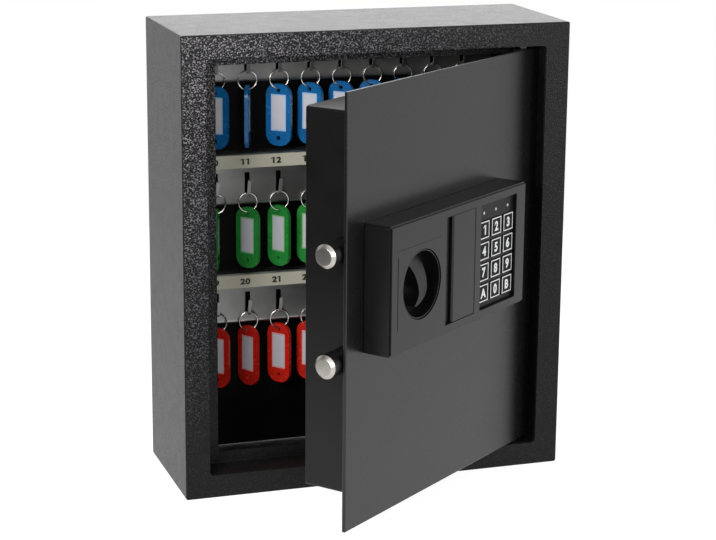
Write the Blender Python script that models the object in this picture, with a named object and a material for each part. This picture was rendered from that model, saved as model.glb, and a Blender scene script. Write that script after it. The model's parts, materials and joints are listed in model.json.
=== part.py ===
"""Wall key cabinet with an electronic lock. Metres, +Z up, front towards -Y, origin on the wall face."""

import math

import bmesh
import bpy
from mathutils import Matrix, Vector

# Cabinet body
WIDTH = 0.314
HEIGHT = 0.365
DEPTH = 0.117
SHEET = 0.0015
EDGE_ROUND = 0.0015
SEAM = 0.0003
FRAME_SIDE = 0.0195
FRAME_END = 0.0185
OPENING_CORNER = 0.003
RETURN_DEPTH = 0.028
STOP_SIDE = 0.014
STOP_END = 0.009
WALL_HOLE_RADIUS = 0.0035
WALL_HOLE_FROM_SIDE = 0.017
WALL_HOLE_FROM_END = 0.0625

# Door, measured from its outer face and from the hinge-side edge of its plate
DOOR_OPEN = math.radians(38)
DOOR_GAP = 0.0025
DOOR_RECESS = 0.005
PLATE_THICK = 0.003
PLATE_ROUND = 0.0006
PAN_SHEET = 0.0012
PAN_DEPTH = 0.047
PAN_ROUND = 0.002
PAN_INSET_SIDE = 0.016
PAN_INSET_TOP = 0.016
PAN_INSET_BOTTOM = 0.023
HINGE_INSET = 0.013
HINGE_BACKSET = 0.007
PIN_RADIUS = 0.0025
PIN_SHOULDER = 0.004
PIN_IN_LUG = 0.012
LUG_HEIGHT = 0.0135
LUG_WIDTH = 0.016
LUG_DEPTH = 0.008

# Bolts and the carriage that moves them
BOLT_RADIUS = 0.009
BOLT_CHAMFER = 0.0024
BOLT_LENGTH = 0.0487
BOLT_REACH = 0.010
BOLT_TRAVEL = 0.012
BOLT_BACKSET = 0.0126
BOLT_UPPER_Z = 0.045
BOLT_LOWER_Z = -0.036
BOLT_RUNNING = 0.0003
KEEPER_CLEARANCE = 0.0008
CARRIAGE_SHEET = 0.002
CARRIAGE_BACKSET = 0.0095
CARRIAGE_BAR_WIDTH = 0.0115
CARRIAGE_BAR_END = 0.010
ARM_LENGTH = 0.036
ARM_BELOW = 0.0104
ARM_ABOVE = 0.015
GUIDE_SHEET = 0.002
GUIDE_FROM_PAN = 0.012
GUIDE_END = 0.014

# Knob, its spindle and its cam
KNOB_Z = 0.015
KNOB_RADIUS = 0.0256
KNOB_RUNNING = 0.0005
KNOB_LENGTH = 0.0165
KNOB_SUNK = 0.0006
KNOB_RIM = 0.0016
KNOB_FLOOR = 0.003
KNOB_RIDGE_SUNK = 0.0014
KNOB_RIDGE_NEAR = 0.001
KNOB_RIDGE_FAR = 0.0095
KNOB_RIDGE_FROM = math.radians(132)
KNOB_RIDGE_TO = math.radians(246)
KNOB_RIM_CHAMFER = 0.0008
SPINDLE_RADIUS = 0.004
CAM_RADIUS = 0.012
CAM_THICK = 0.003
CAM_CLEAR = 0.002
CRANK_RADIUS = BOLT_TRAVEL / (2 * math.sin(math.radians(45)))
CRANK_PIN_RADIUS = 0.002
CRANK_PIN_PROUD = 0.0055
CRANK_CLEARANCE = 0.0004

# Solenoid
SOLENOID_WIDTH = 0.016
SOLENOID_HEIGHT = 0.026
SOLENOID_DEPTH = 0.0135
SOLENOID_BELOW_ARM = 0.0126
PLUNGER_RADIUS = 0.002
PLUNGER_IN = 0.018
PLUNGER_TRAVEL = 0.004
PLUNGER_CLEAR = 0.0008
PLUNGER_TO_ARM = 0.0005

# Lock fascia
FASCIA_FROM_FREE_EDGE = 0.022
FASCIA_EDGE_TO_KNOB = 0.042
FASCIA_ABOVE_KNOB = 0.050
FASCIA_END = 0.007
KNOB_TO_POCKET = 0.033
POCKET_TO_PAD = 0.008
PAD_TO_EDGE = 0.0145
FASCIA_PROUD = 0.023
FASCIA_WALL = 0.0022
FASCIA_ROUND = 0.0014
FASCIA_GROOVE_WIDTH = 0.0007
FASCIA_GROOVE_DEPTH = 0.0008
FASCIA_GROOVE_FROM_EDGE = 0.009
FASCIA_GROOVE_FOOT = 0.018
FASCIA_LINE_DEPTH = 0.0003
FASCIA_LINE_Z = 0.0455
COLLAR_WALL = 0.0016
COLLAR_LENGTH = 0.012

# Cover over the emergency lock, in its pocket
POCKET_DEPTH = 0.0033
POCKET_FLOOR = 0.0015
POCKET_WALL = 0.0015
COVER_WIDTH = 0.0319
COVER_TRAVEL = 0.0095
COVER_SUNK = 0.0002
COVER_BEVEL = 0.0012
LOCK_Z = 0.026
LOCK_NOSE_RADIUS = 0.0043
LOCK_BARREL_RADIUS = 0.008
LOCK_PLUG_RADIUS = 0.0032
LOCK_BEHIND = 0.018
LOCK_COVER_GAP = 0.0005
KEYWAY_WIDTH = 0.0012
KEYWAY_HEIGHT = 0.0046
KEYWAY_DEPTH = 0.006
TAIL_THICK = 0.002
TAIL_WIDTH = 0.008
TAIL_LENGTH = 0.018

# Keypad
PAD_LAMP_STRIP = 0.014
PAD_FOOT = 0.0049
PAD_SIDE = 0.00185
PAD_SUNK = 0.003
PAD_PLATE = 0.0015
PAD_BEZEL = 0.0055
BOARD_THICK = 0.0016
KEY_COLUMNS = 3
KEY_PITCH_X = 0.0178
KEY_PITCH_Z = 0.0165
KEY_WIDTH = 0.0142
KEY_HEIGHT = 0.0136
KEY_LENGTH = 0.0027
KEY_PROUD = 0.0009
KEY_ROUND = 0.0008
KEY_NAMES = ("1", "2", "3", "4", "5", "6", "7", "8", "9", "a", "0", "b")

# Battery box and its cover, on the inner side of the pan
BATTERY_NEAR = 0.064
BATTERY_WIDTH = 0.070
BATTERY_ABOVE_PAN_FOOT = 0.0265
BATTERY_HEIGHT = 0.066
BATTERY_DEPTH = 0.0175
BATTERY_WALL = 0.0018
BATTERY_COVER_LIP = 0.003
BATTERY_COVER_THICK = 0.002
BATTERY_RIBS = 4
BATTERY_RIB_PITCH = 0.0035
BATTERY_RIB_THICK = 0.0012
BATTERY_RIB_PROUD = 0.0008
BATTERY_RIB_WIDTH = 0.030

# Hook rails and their hooks
RAIL_NAMES = ("upper", "middle", "lower")
RAIL_FROM_SIDE = 0.0245
RAIL_TOP_MARGIN_SHARE = 0.148
RAIL_HEIGHT = 0.0425
RAIL_STANDOFF = 0.017
RAIL_SHEET = 0.0012
RAIL_BEND = 0.0012
RAIL_FOOT_BEND = 0.0036
HOOKS_PER_RAIL = 9
HOOK_FROM_RAIL_END = 0.0254
HOOK_WIDTH = 0.0026
HOOK_THICK = 0.0012
HOOK_THROAT = 0.0042
HOOK_LENGTH = 0.0122
HOOK_LEAN = math.radians(18)
HOOK_BEND = 0.0016
HOOK_SEAT = 0.0093
HOOK_HANG_SHARE = 0.5
SLOT_WIDTH = 0.0042
STRIP_HEIGHT = 0.0107
STRIP_THICK = 0.0008
STRIP_FROM_RAIL_END = 0.003

# Key tags and their rings
RING_RADIUS = 0.0077
RING_WIRE_RADIUS = 0.00065
TAG_LENGTH = 0.0506
TAG_APART = 0.0044
TAG_ABOVE_RAIL = 0.0055
TAG_THICK = 0.0032
TAG_END_FLAT = 0.0015
TAG_EYE_RADIUS = 0.0018
TAG_EYE_FROM_TOP = 0.0052
TAG_FOOT_HOLE_RADIUS = 0.0018
TAG_FOOT_HOLE_FROM_END = 0.0064
TAG_BITE = 0.0003
LABEL_FROM_SIDE = 0.0042
LABEL_FROM_TOP = 0.0084
LABEL_FROM_FOOT = 0.012
LABEL_SUNK = 0.0005
TAG_TURN_SHARES = {
    "upper": (-0.41, 0.77, -0.46, -0.50, -0.49, -0.42, -0.36, -0.52, -0.44),
    "middle": (0.78, -0.57, -0.62),
    "lower": (-0.50, -0.67, -0.58),
}

# Facets and cutter overrun
FINE_SIDES = 40
ROUND_SIDES = 24
SMALL_SIDES = 12
CORNER_STEPS = 3
OVERRUN = 0.002
WELD = 0.000002

# Sizes worked out from the ones above
OPENING_HALF_X = WIDTH / 2 - FRAME_SIDE
OPENING_HALF_Z = HEIGHT / 2 - FRAME_END
PLATE_WIDTH = 2 * (OPENING_HALF_X - DOOR_GAP)
PLATE_HALF_Z = OPENING_HALF_Z - DOOR_GAP
PAN_FAR = PLATE_WIDTH - PAN_INSET_SIDE
PAN_TOP = PLATE_HALF_Z - PAN_INSET_TOP
PAN_BOTTOM = PAN_INSET_BOTTOM - PLATE_HALF_Z
PIVOT = Vector(
    (OPENING_HALF_X - DOOR_GAP - HINGE_INSET, DOOR_RECESS + HINGE_BACKSET - DEPTH, 0)
)
FASCIA_FAR = PLATE_WIDTH - FASCIA_FROM_FREE_EDGE
KNOB_ACROSS = FASCIA_FAR - FASCIA_EDGE_TO_KNOB
POCKET_FAR = KNOB_ACROSS - KNOB_TO_POCKET
POCKET_NEAR = POCKET_FAR - COVER_WIDTH - COVER_TRAVEL - 2 * SEAM
PAD_FAR = POCKET_NEAR - POCKET_TO_PAD
PAD_NEAR = PAD_FAR - (KEY_COLUMNS - 1) * KEY_PITCH_X - KEY_WIDTH - 2 * PAD_SIDE
FASCIA_NEAR = PAD_NEAR - PAD_TO_EDGE
FASCIA_TOP = KNOB_Z + FASCIA_ABOVE_KNOB
PAD_TOP = FASCIA_TOP - FASCIA_END
KEY_TOP_ROW_Z = PAD_TOP - PAD_LAMP_STRIP - KEY_HEIGHT / 2
KEY_ROWS = len(KEY_NAMES) // KEY_COLUMNS
PAD_BOTTOM = KEY_TOP_ROW_Z - (KEY_ROWS - 1) * KEY_PITCH_Z - KEY_HEIGHT / 2 - PAD_FOOT
FASCIA_BOTTOM = PAD_BOTTOM - FASCIA_END
POCKET_TOP, POCKET_BOTTOM = PAD_TOP, PAD_BOTTOM
BATTERY_TOP = PAN_BOTTOM + BATTERY_ABOVE_PAN_FOOT + BATTERY_HEIGHT
BOLT_TIP = PLATE_WIDTH + BOLT_REACH
BOLT_ROOT = BOLT_TIP - BOLT_LENGTH
BAR_FACE = BOLT_ROOT - SEAM
COVER_FAR = POCKET_NEAR + SEAM + COVER_WIDTH
LOCK_ACROSS = POCKET_NEAR + SEAM + COVER_TRAVEL / 2
SOLENOID_ACROSS = BAR_FACE - ARM_LENGTH - PLUNGER_RADIUS - PLUNGER_TO_ARM
PLUNGER_BACKSET = CARRIAGE_BACKSET + CARRIAGE_SHEET / 2
RAIL_FACE_Y = -RAIL_STANDOFF
RAIL_LENGTH = WIDTH - 2 * (SHEET + RAIL_FROM_SIDE)
HOOK_TURN = math.radians(90) - HOOK_LEAN
HOOK_BEND_Y = RAIL_FACE_Y - HOOK_THROAT + HOOK_BEND * math.sin(HOOK_TURN)
HOOK_CURVE = (HOOK_BEND + HOOK_THICK / 2) * HOOK_TURN
SLOT_HEIGHT = RAIL_FACE_Y - HOOK_BEND_Y + HOOK_CURVE + HOOK_LENGTH
RING_HANG = 2 * (RING_RADIUS - RING_WIRE_RADIUS) - SEAM
TAG_BELOW_SEAT = RING_HANG + TAG_BITE + TAG_EYE_RADIUS - TAG_EYE_FROM_TOP
RAIL_PITCH = TAG_BELOW_SEAT - HOOK_SEAT + TAG_LENGTH + TAG_ABOVE_RAIL + RAIL_HEIGHT
RAIL_STACK = len(RAIL_NAMES) * RAIL_PITCH - TAG_ABOVE_RAIL
RAIL_ROOM = HEIGHT - 2 * SHEET - RAIL_STACK
RAIL_TOP_FOOT_Z = HEIGHT / 2 - SHEET - RAIL_TOP_MARGIN_SHARE * RAIL_ROOM - RAIL_HEIGHT
HOOK_PITCH = (RAIL_LENGTH - 2 * HOOK_FROM_RAIL_END) / (HOOKS_PER_RAIL - 1)
STRIP_LENGTH = RAIL_LENGTH - 2 * STRIP_FROM_RAIL_END
TAG_WIDTH = HOOK_PITCH - TAG_APART
TAG_CORNER = TAG_WIDTH / 2 - TAG_END_FLAT


def material(name, colour, roughness, metallic=0.0):
    made = bpy.data.materials.new(name)
    made.use_nodes = True
    shader = made.node_tree.nodes["Principled BSDF"]
    shader.inputs["Base Color"].default_value = (*colour, 1)
    shader.inputs["Roughness"].default_value = roughness
    shader.inputs["Metallic"].default_value = metallic
    return made


def clear_scene():
    for obj in list(bpy.data.objects):
        bpy.data.objects.remove(obj, do_unlink=True)


def add_mesh(name, bm, parent=None, origin=(0, 0, 0)):
    """An object from a bmesh given in its parent's frame, with its own origin where it turns or slides."""
    origin = Vector(origin)
    bmesh.ops.recalc_face_normals(bm, faces=bm.faces)
    bmesh.ops.translate(bm, verts=bm.verts, vec=-origin)
    mesh = bpy.data.meshes.new(name)
    bm.to_mesh(mesh)
    bm.free()
    obj = bpy.data.objects.new(name, mesh)
    bpy.context.scene.collection.objects.link(obj)
    obj.parent = parent
    obj.location = origin
    return obj


def add_part(name, bm, look, parent=None, origin=(0, 0, 0)):
    part = add_mesh(name, bm, parent, origin)
    part.data.materials.append(look)
    part.data.shade_smooth()
    part.data.set_sharp_from_angle(angle=math.radians(35))
    return part


def combine(part, operation, name, bm):
    """A Boolean with a helper object, which stays out of the render."""
    helper = add_mesh(f"{part.name}_{name}", bm, part.parent)
    helper.hide_render = True
    helper.display_type = "WIRE"
    modifier = part.modifiers.new(name, "BOOLEAN")
    modifier.operation = operation
    modifier.solver = "EXACT"
    modifier.object = helper


def cut(part, name, bm):
    combine(part, "DIFFERENCE", name, bm)


def join(part, name, bm):
    combine(part, "UNION", name, bm)


def prism(bm, outline, axis, start, end):
    """A closed prism along an axis, its outline given in the two other coordinates, in x, y, z order."""
    order = {"x": (2, 0, 1), "y": (0, 2, 1), "z": (0, 1, 2)}[axis]

    def corner(point, along):
        values = (*point, along)
        return [values[i] for i in order]

    rings = [[bm.verts.new(corner(p, along)) for p in outline] for along in (start, end)]
    bm.faces.new(rings[0])
    bm.faces.new(list(reversed(rings[1])))
    for i in range(len(outline)):
        j = (i + 1) % len(outline)
        bm.faces.new((rings[0][i], rings[1][i], rings[1][j], rings[0][j]))
    return bm


def rectangle(x0, x1, z0, z1):
    return [(x0, z0), (x1, z0), (x1, z1), (x0, z1)]


def rounded(x0, x1, z0, z1, radius, steps=CORNER_STEPS):
    """A rectangle with round corners."""
    points = []
    corners = (
        (x1 - radius, z0 + radius, -90),
        (x1 - radius, z1 - radius, 0),
        (x0 + radius, z1 - radius, 90),
        (x0 + radius, z0 + radius, 180),
    )
    for cx, cz, first in corners:
        for i in range(steps + 1):
            angle = math.radians(first + 90 * i / steps)
            points.append((cx + radius * math.cos(angle), cz + radius * math.sin(angle)))
    return points


def circle(cx, cz, radius, sides):
    turns = [2 * math.pi * i / sides for i in range(sides)]
    return [(cx + radius * math.cos(a), cz + radius * math.sin(a)) for a in turns]


def arc_through(start, middle, end, steps):
    """Points of the arc through three points, ends included."""
    (ax, az), (bx, bz), (cx, cz) = start, middle, end
    d = 2 * (ax * (bz - cz) + bx * (cz - az) + cx * (az - bz))
    a2, b2, c2 = ax * ax + az * az, bx * bx + bz * bz, cx * cx + cz * cz
    ux = (a2 * (bz - cz) + b2 * (cz - az) + c2 * (az - bz)) / d
    uz = (a2 * (cx - bx) + b2 * (ax - cx) + c2 * (bx - ax)) / d
    radius = math.hypot(ax - ux, az - uz)
    first, mid, last = (math.atan2(z - uz, x - ux) for x, z in (start, middle, end))
    full = 2 * math.pi
    sweep = (last - first) % full
    if (mid - first) % full > sweep:
        sweep -= full
    turns = [first + sweep * i / steps for i in range(steps + 1)]
    return [(ux + radius * math.cos(t), uz + radius * math.sin(t)) for t in turns]


def block(x0, x1, y0, y1, z0, z1):
    return prism(bmesh.new(), rectangle(x0, x1, z0, z1), "y", y0, y1)


def turned(profile, sides, axis="z", centre=(0, 0, 0)):
    """A solid of revolution from (radius, along) points. A radius of zero closes an end."""
    bm = bmesh.new()
    verts = [bm.verts.new((radius, 0, along)) for radius, along in profile]
    edges = [bm.edges.new(pair) for pair in zip(verts, verts[1:])]
    bmesh.ops.spin(
        bm,
        geom=verts + edges,
        cent=(0, 0, 0),
        axis=(0, 0, 1),
        angle=2 * math.pi,
        steps=sides,
        use_merge=True,
    )
    bmesh.ops.remove_doubles(bm, verts=bm.verts, dist=WELD)
    turn = {
        "x": Matrix.Rotation(math.radians(90), 4, "Y"),
        "y": Matrix.Rotation(math.radians(-90), 4, "X"),
        "z": Matrix.Identity(4),
    }[axis]
    bmesh.ops.transform(bm, matrix=Matrix.Translation(centre) @ turn, verts=bm.verts)
    return bm


def across(u):
    """Distance from the plate's hinge-side edge, as x in the door's frame."""
    return HINGE_INSET - u


def behind(v):
    """Depth behind the door's outer face, as y in the door's frame."""
    return v - HINGE_BACKSET


def door_block(near, far, front, back, z0, z1):
    return block(across(far), across(near), behind(front), behind(back), z0, z1)


def build_shell(look):
    """Folded body: sides, top, bottom and front face in one sheet, open at the back."""
    half_x, half_z = WIDTH / 2, HEIGHT / 2
    outline = rounded(-half_x, half_x, -half_z, half_z, EDGE_ROUND, 2)
    bm = prism(bmesh.new(), outline, "y", -DEPTH, 0)
    front = [e for e in bm.edges if all(v.co.y < SHEET - DEPTH for v in e.verts)]
    bmesh.ops.bevel(
        bm, geom=front, offset=EDGE_ROUND / 2, segments=1, affect="EDGES"
    )
    shell = add_part("cabinet_shell", bm, look)
    inside = rectangle(SHEET - half_x, half_x - SHEET, SHEET - half_z, half_z - SHEET)
    cut(shell, "inside", prism(bmesh.new(), inside, "y", SHEET - DEPTH, OVERRUN))
    opening = rounded(
        -OPENING_HALF_X, OPENING_HALF_X, -OPENING_HALF_Z, OPENING_HALF_Z, OPENING_CORNER
    )
    cut(
        shell,
        "opening",
        prism(bmesh.new(), opening, "y", -DEPTH - OVERRUN, OVERRUN + SHEET - DEPTH),
    )


def build_door_frame(look):
    """Return round the opening with the stop flange at its foot, keeper holes and pin holes."""
    x, z = OPENING_HALF_X, OPENING_HALF_Z
    front = SHEET + SEAM - DEPTH
    stop = RETURN_DEPTH - DEPTH
    outer = rounded(-x - SHEET, x + SHEET, -z - SHEET, z + SHEET, OPENING_CORNER + SHEET)
    frame = add_part(
        "door_frame", prism(bmesh.new(), outer, "y", front, stop + SHEET), look
    )
    cut(
        frame,
        "rebate",
        prism(bmesh.new(), rounded(-x, x, -z, z, OPENING_CORNER), "y", front - OVERRUN, stop),
    )
    inner = rectangle(STOP_SIDE - x, x - STOP_SIDE, STOP_END - z, z - STOP_END)
    cut(frame, "mouth", prism(bmesh.new(), inner, "y", front, stop + SHEET + OVERRUN))
    keepers = bmesh.new()
    keeper_y = DOOR_RECESS + BOLT_BACKSET - DEPTH
    for bolt_z in (BOLT_UPPER_Z, BOLT_LOWER_Z):
        hole = circle(keeper_y, bolt_z, BOLT_RADIUS + KEEPER_CLEARANCE, ROUND_SIDES)
        prism(keepers, hole, "x", -x - SHEET - OVERRUN, OVERRUN - x)
    cut(frame, "keepers", keepers)
    pins = bmesh.new()
    hole = circle(PIVOT.x, PIVOT.y, PIN_RADIUS + SEAM, ROUND_SIDES)
    prism(pins, hole, "z", z - OVERRUN, z + SHEET + OVERRUN)
    prism(pins, hole, "z", -z - SHEET - OVERRUN, OVERRUN - z)
    cut(frame, "pin_holes", pins)


def build_back_panel(look):
    half_x = WIDTH / 2 - SHEET - SEAM
    half_z = HEIGHT / 2 - SHEET - SEAM
    panel = add_part("back_panel", block(-half_x, half_x, -SHEET, 0, -half_z, half_z), look)
    holes = bmesh.new()
    hole_x = WIDTH / 2 - WALL_HOLE_FROM_SIDE
    hole_z = HEIGHT / 2 - WALL_HOLE_FROM_END
    for x in (-hole_x, hole_x):
        for z in (-hole_z, hole_z):
            hole = circle(x, z, WALL_HOLE_RADIUS, SMALL_SIDES)
            prism(holes, hole, "y", -SHEET - OVERRUN, OVERRUN)
    cut(panel, "wall_holes", holes)


def rail_foot_z(row):
    return RAIL_TOP_FOOT_Z - row * RAIL_PITCH


def hook_x(number):
    return (number - (HOOKS_PER_RAIL + 1) / 2) * HOOK_PITCH


def arc(cx, cz, radius, start, turn, steps):
    """Points of an arc about a centre, from the angle start through the angle turn."""
    angles = [start + turn * i / steps for i in range(steps + 1)]
    return [(cx + radius * math.cos(a), cz + radius * math.sin(a)) for a in angles]


def hook_outline(seat_z):
    """Side view of one lanced hook: forward out of the web, then up, leaning away from it."""
    root_y = RAIL_FACE_Y + RAIL_SHEET / 2
    centre_z = seat_z + HOOK_BEND
    down = math.radians(-90)
    inner = arc(HOOK_BEND_Y, centre_z, HOOK_BEND, down, -HOOK_TURN, CORNER_STEPS)
    outer = arc(HOOK_BEND_Y, centre_z, HOOK_BEND + HOOK_THICK, down, -HOOK_TURN, CORNER_STEPS)
    rise = (-HOOK_LENGTH * math.cos(HOOK_TURN), HOOK_LENGTH * math.sin(HOOK_TURN))
    tip = [(end[0] + rise[0], end[1] + rise[1]) for end in (inner[-1], outer[-1])]
    root = [(root_y, seat_z - HOOK_THICK), (root_y, seat_z)]
    return root + inner + tip + outer[::-1]


def build_rail(row, look):
    """Channel with its web forward, nine slots and the hooks lanced out of them."""
    foot = rail_foot_z(row)
    top = foot + RAIL_HEIGHT
    back = -SHEET - SEAM
    bend = (RAIL_FACE_Y + RAIL_FOOT_BEND, foot + RAIL_FOOT_BEND)
    right_angle = math.radians(90)
    outline = [
        (back, foot),
        *arc(*bend, RAIL_FOOT_BEND, -right_angle, -right_angle, CORNER_STEPS),
        (RAIL_FACE_Y, top - RAIL_BEND),
        (RAIL_FACE_Y + RAIL_BEND, top),
        (back, top),
        (back, top - RAIL_SHEET),
        (RAIL_FACE_Y + RAIL_SHEET, top - RAIL_SHEET),
        *arc(*bend, RAIL_FOOT_BEND - RAIL_SHEET, 2 * right_angle, right_angle, CORNER_STEPS),
        (back, foot + RAIL_SHEET),
    ]
    body = prism(bmesh.new(), outline, "x", -RAIL_LENGTH / 2, RAIL_LENGTH / 2)
    rail = add_part(f"hook_rail_{RAIL_NAMES[row]}", body, look)
    seat_z = foot + HOOK_SEAT
    slots, hooks = bmesh.new(), bmesh.new()
    for number in range(1, HOOKS_PER_RAIL + 1):
        x = hook_x(number)
        slot = rectangle(x - SLOT_WIDTH / 2, x + SLOT_WIDTH / 2, seat_z, seat_z + SLOT_HEIGHT)
        prism(slots, slot, "y", RAIL_FACE_Y - OVERRUN, RAIL_FACE_Y + RAIL_SHEET + OVERRUN)
        prism(hooks, hook_outline(seat_z), "x", x - HOOK_WIDTH / 2, x + HOOK_WIDTH / 2)
    cut(rail, "slots", slots)
    join(rail, "hooks", hooks)


def build_number_strip(row, look):
    top = rail_foot_z(row) + RAIL_HEIGHT - RAIL_BEND
    half = STRIP_LENGTH / 2
    front = RAIL_FACE_Y - SEAM - STRIP_THICK
    strip = block(-half, half, front, front + STRIP_THICK, top - STRIP_HEIGHT, top)
    add_part(f"number_strip_{RAIL_NAMES[row]}", strip, look)


def build_tag(row_name, number, turn, look):
    """Split ring round the hook with a label tag on it, as one body. Its origin is the top of the ring."""
    row = RAIL_NAMES.index(row_name)
    seat_z = rail_foot_z(row) + HOOK_SEAT
    plane_y = RAIL_FACE_Y - HOOK_THROAT * HOOK_HANG_SHARE
    top_z = seat_z + SEAM + RING_WIRE_RADIUS
    ring_z = top_z - RING_RADIUS
    x = hook_x(number)
    wire = bmesh.new()
    section = circle(RING_RADIUS, 0, RING_WIRE_RADIUS, 5)
    verts = [wire.verts.new((r, 0, h)) for r, h in section]
    edges = [wire.edges.new((verts[i], verts[(i + 1) % len(verts)])) for i in range(len(verts))]
    bmesh.ops.spin(
        wire,
        geom=verts + edges,
        cent=(0, 0, 0),
        axis=(0, 0, 1),
        angle=2 * math.pi,
        steps=18,
        use_merge=True,
    )
    bmesh.ops.remove_doubles(wire, verts=wire.verts, dist=WELD)
    upright = Matrix.Translation((x, plane_y, ring_z)) @ Matrix.Rotation(math.radians(90), 4, "X")
    bmesh.ops.transform(wire, matrix=upright, verts=wire.verts)
    eye_z = ring_z - RING_RADIUS + RING_WIRE_RADIUS - TAG_BITE - TAG_EYE_RADIUS
    tag_top = eye_z + TAG_EYE_FROM_TOP
    half = TAG_WIDTH / 2
    outline = rounded(-half, half, tag_top - TAG_LENGTH, tag_top, TAG_CORNER, 4)
    body = prism(bmesh.new(), outline, "y", -TAG_THICK / 2, TAG_THICK / 2)
    holes = bmesh.new()
    eye = circle(0, eye_z, TAG_EYE_RADIUS, 10)
    prism(holes, eye, "y", -TAG_THICK / 2 - OVERRUN, TAG_THICK / 2 + OVERRUN)
    foot_z = tag_top - TAG_LENGTH + TAG_FOOT_HOLE_FROM_END
    foot = circle(0, foot_z, TAG_FOOT_HOLE_RADIUS, 10)
    prism(holes, foot, "y", -TAG_THICK / 2 - OVERRUN, TAG_THICK / 2 + OVERRUN)
    window = rectangle(
        LABEL_FROM_SIDE - half,
        half - LABEL_FROM_SIDE,
        tag_top - TAG_LENGTH + LABEL_FROM_FOOT,
        tag_top - LABEL_FROM_TOP,
    )
    prism(holes, window, "y", -TAG_THICK / 2 - OVERRUN, LABEL_SUNK - TAG_THICK / 2)
    prism(holes, window, "y", TAG_THICK / 2 - LABEL_SUNK, TAG_THICK / 2 + OVERRUN)
    place = Matrix.Translation((x, plane_y, 0)) @ Matrix.Rotation(turn, 4, "Z")
    for bm in (body, holes):
        bmesh.ops.transform(bm, matrix=place, verts=bm.verts)
    tag = add_part(
        f"key_tag_{row * HOOKS_PER_RAIL + number:02d}", body, look, origin=(x, plane_y, top_z)
    )
    cut(tag, "holes", holes)
    join(tag, "ring", wire)


def add_door_pivot():
    pivot = bpy.data.objects.new("door_pivot", None)
    bpy.context.scene.collection.objects.link(pivot)
    pivot.location = PIVOT
    pivot.rotation_euler.z = DOOR_OPEN
    return pivot


def build_door_plate(door, look):
    bm = door_block(0, PLATE_WIDTH, 0, PLATE_THICK, -PLATE_HALF_Z, PLATE_HALF_Z)
    bmesh.ops.bevel(
        bm, geom=bm.edges[:], offset=PLATE_ROUND, segments=1, affect="EDGES"
    )
    plate = add_part("door_plate", bm, look, door)
    holes = bmesh.new()
    front, back = behind(-OVERRUN), behind(PLATE_THICK + OVERRUN)
    spindle = circle(across(KNOB_ACROSS), KNOB_Z, SPINDLE_RADIUS + SEAM, ROUND_SIDES)
    prism(holes, spindle, "y", front, back)
    barrel = circle(across(LOCK_ACROSS), LOCK_Z, LOCK_BARREL_RADIUS + SEAM, ROUND_SIDES)
    prism(holes, barrel, "y", front, back)
    cut(plate, "holes", holes)


def bolt_notches(near, far, radius):
    """Slots for both bolts, round at the back and open towards the plate."""
    bm = bmesh.new()
    for z in (BOLT_UPPER_Z, BOLT_LOWER_Z):
        slot = arc_through(
            (behind(BOLT_BACKSET), z - radius),
            (behind(BOLT_BACKSET) + radius, z),
            (behind(BOLT_BACKSET), z + radius),
            ROUND_SIDES // 2,
        )
        slot += [(behind(0), z + radius), (behind(0), z - radius)]
        prism(bm, slot, "x", across(far), across(near))
    return bm


def build_door_pan(door, look):
    """Folded tray behind the plate, with bolt slots in its free side and the battery window behind."""
    front = PLATE_THICK + SEAM
    outer = rounded(
        across(PAN_FAR), across(PAN_INSET_SIDE), PAN_BOTTOM, PAN_TOP, PAN_ROUND, 2
    )
    bm = prism(bmesh.new(), outer, "y", behind(front), behind(PAN_DEPTH))
    rear = [e for e in bm.edges if all(v.co.y > behind(PAN_DEPTH - SEAM) for v in e.verts)]
    bmesh.ops.bevel(bm, geom=rear, offset=PAN_ROUND / 2, segments=1, affect="EDGES")
    pan = add_part("door_pan", bm, look, door)
    cut(
        pan,
        "inside",
        door_block(
            PAN_INSET_SIDE + PAN_SHEET,
            PAN_FAR - PAN_SHEET,
            front - OVERRUN,
            PAN_DEPTH - PAN_SHEET,
            PAN_BOTTOM + PAN_SHEET,
            PAN_TOP - PAN_SHEET,
        ),
    )
    cut(
        pan,
        "bolt_slots",
        bolt_notches(PAN_FAR - PAN_SHEET - OVERRUN, PAN_FAR + OVERRUN, BOLT_RADIUS + BOLT_RUNNING),
    )
    cut(
        pan,
        "battery_window",
        door_block(
            BATTERY_NEAR + BATTERY_WALL,
            BATTERY_NEAR + BATTERY_WIDTH - BATTERY_WALL,
            PAN_DEPTH - PAN_SHEET - OVERRUN,
            PAN_DEPTH + OVERRUN,
            BATTERY_TOP - BATTERY_HEIGHT + BATTERY_WALL,
            BATTERY_TOP - BATTERY_WALL,
        ),
    )


def build_hinge(end, sign, door, lug_look, pin_look):
    """Lug welded behind the plate and the shouldered pin in it, at the top (sign 1) or the foot (-1)."""
    outer = sign * (PLATE_HALF_Z - SEAM)
    inner = outer - sign * LUG_HEIGHT
    lug = add_part(
        f"hinge_lug_{end}",
        door_block(
            HINGE_INSET - LUG_WIDTH / 2,
            HINGE_INSET + LUG_WIDTH / 2,
            PLATE_THICK + SEAM,
            PLATE_THICK + SEAM + LUG_DEPTH,
            min(outer, inner),
            max(outer, inner),
        ),
        lug_look,
        door,
    )
    bore = prism(
        bmesh.new(),
        circle(0, 0, PIN_RADIUS + SEAM, ROUND_SIDES),
        "z",
        min(outer, inner) - OVERRUN,
        max(outer, inner) + OVERRUN,
    )
    cut(lug, "bore", bore)
    root = outer - sign * PIN_IN_LUG
    low_shoulder = outer + sign * SEAM
    high_shoulder = sign * (OPENING_HALF_Z - SEAM)
    tip = sign * (OPENING_HALF_Z + SHEET + OVERRUN)
    profile = [
        (0, root),
        (PIN_RADIUS, root),
        (PIN_RADIUS, low_shoulder),
        (PIN_SHOULDER, low_shoulder),
        (PIN_SHOULDER, high_shoulder),
        (PIN_RADIUS, high_shoulder),
        (PIN_RADIUS, tip),
        (0, tip),
    ]
    add_part(f"hinge_pin_{end}", turned(profile, ROUND_SIDES), pin_look, door)


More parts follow.
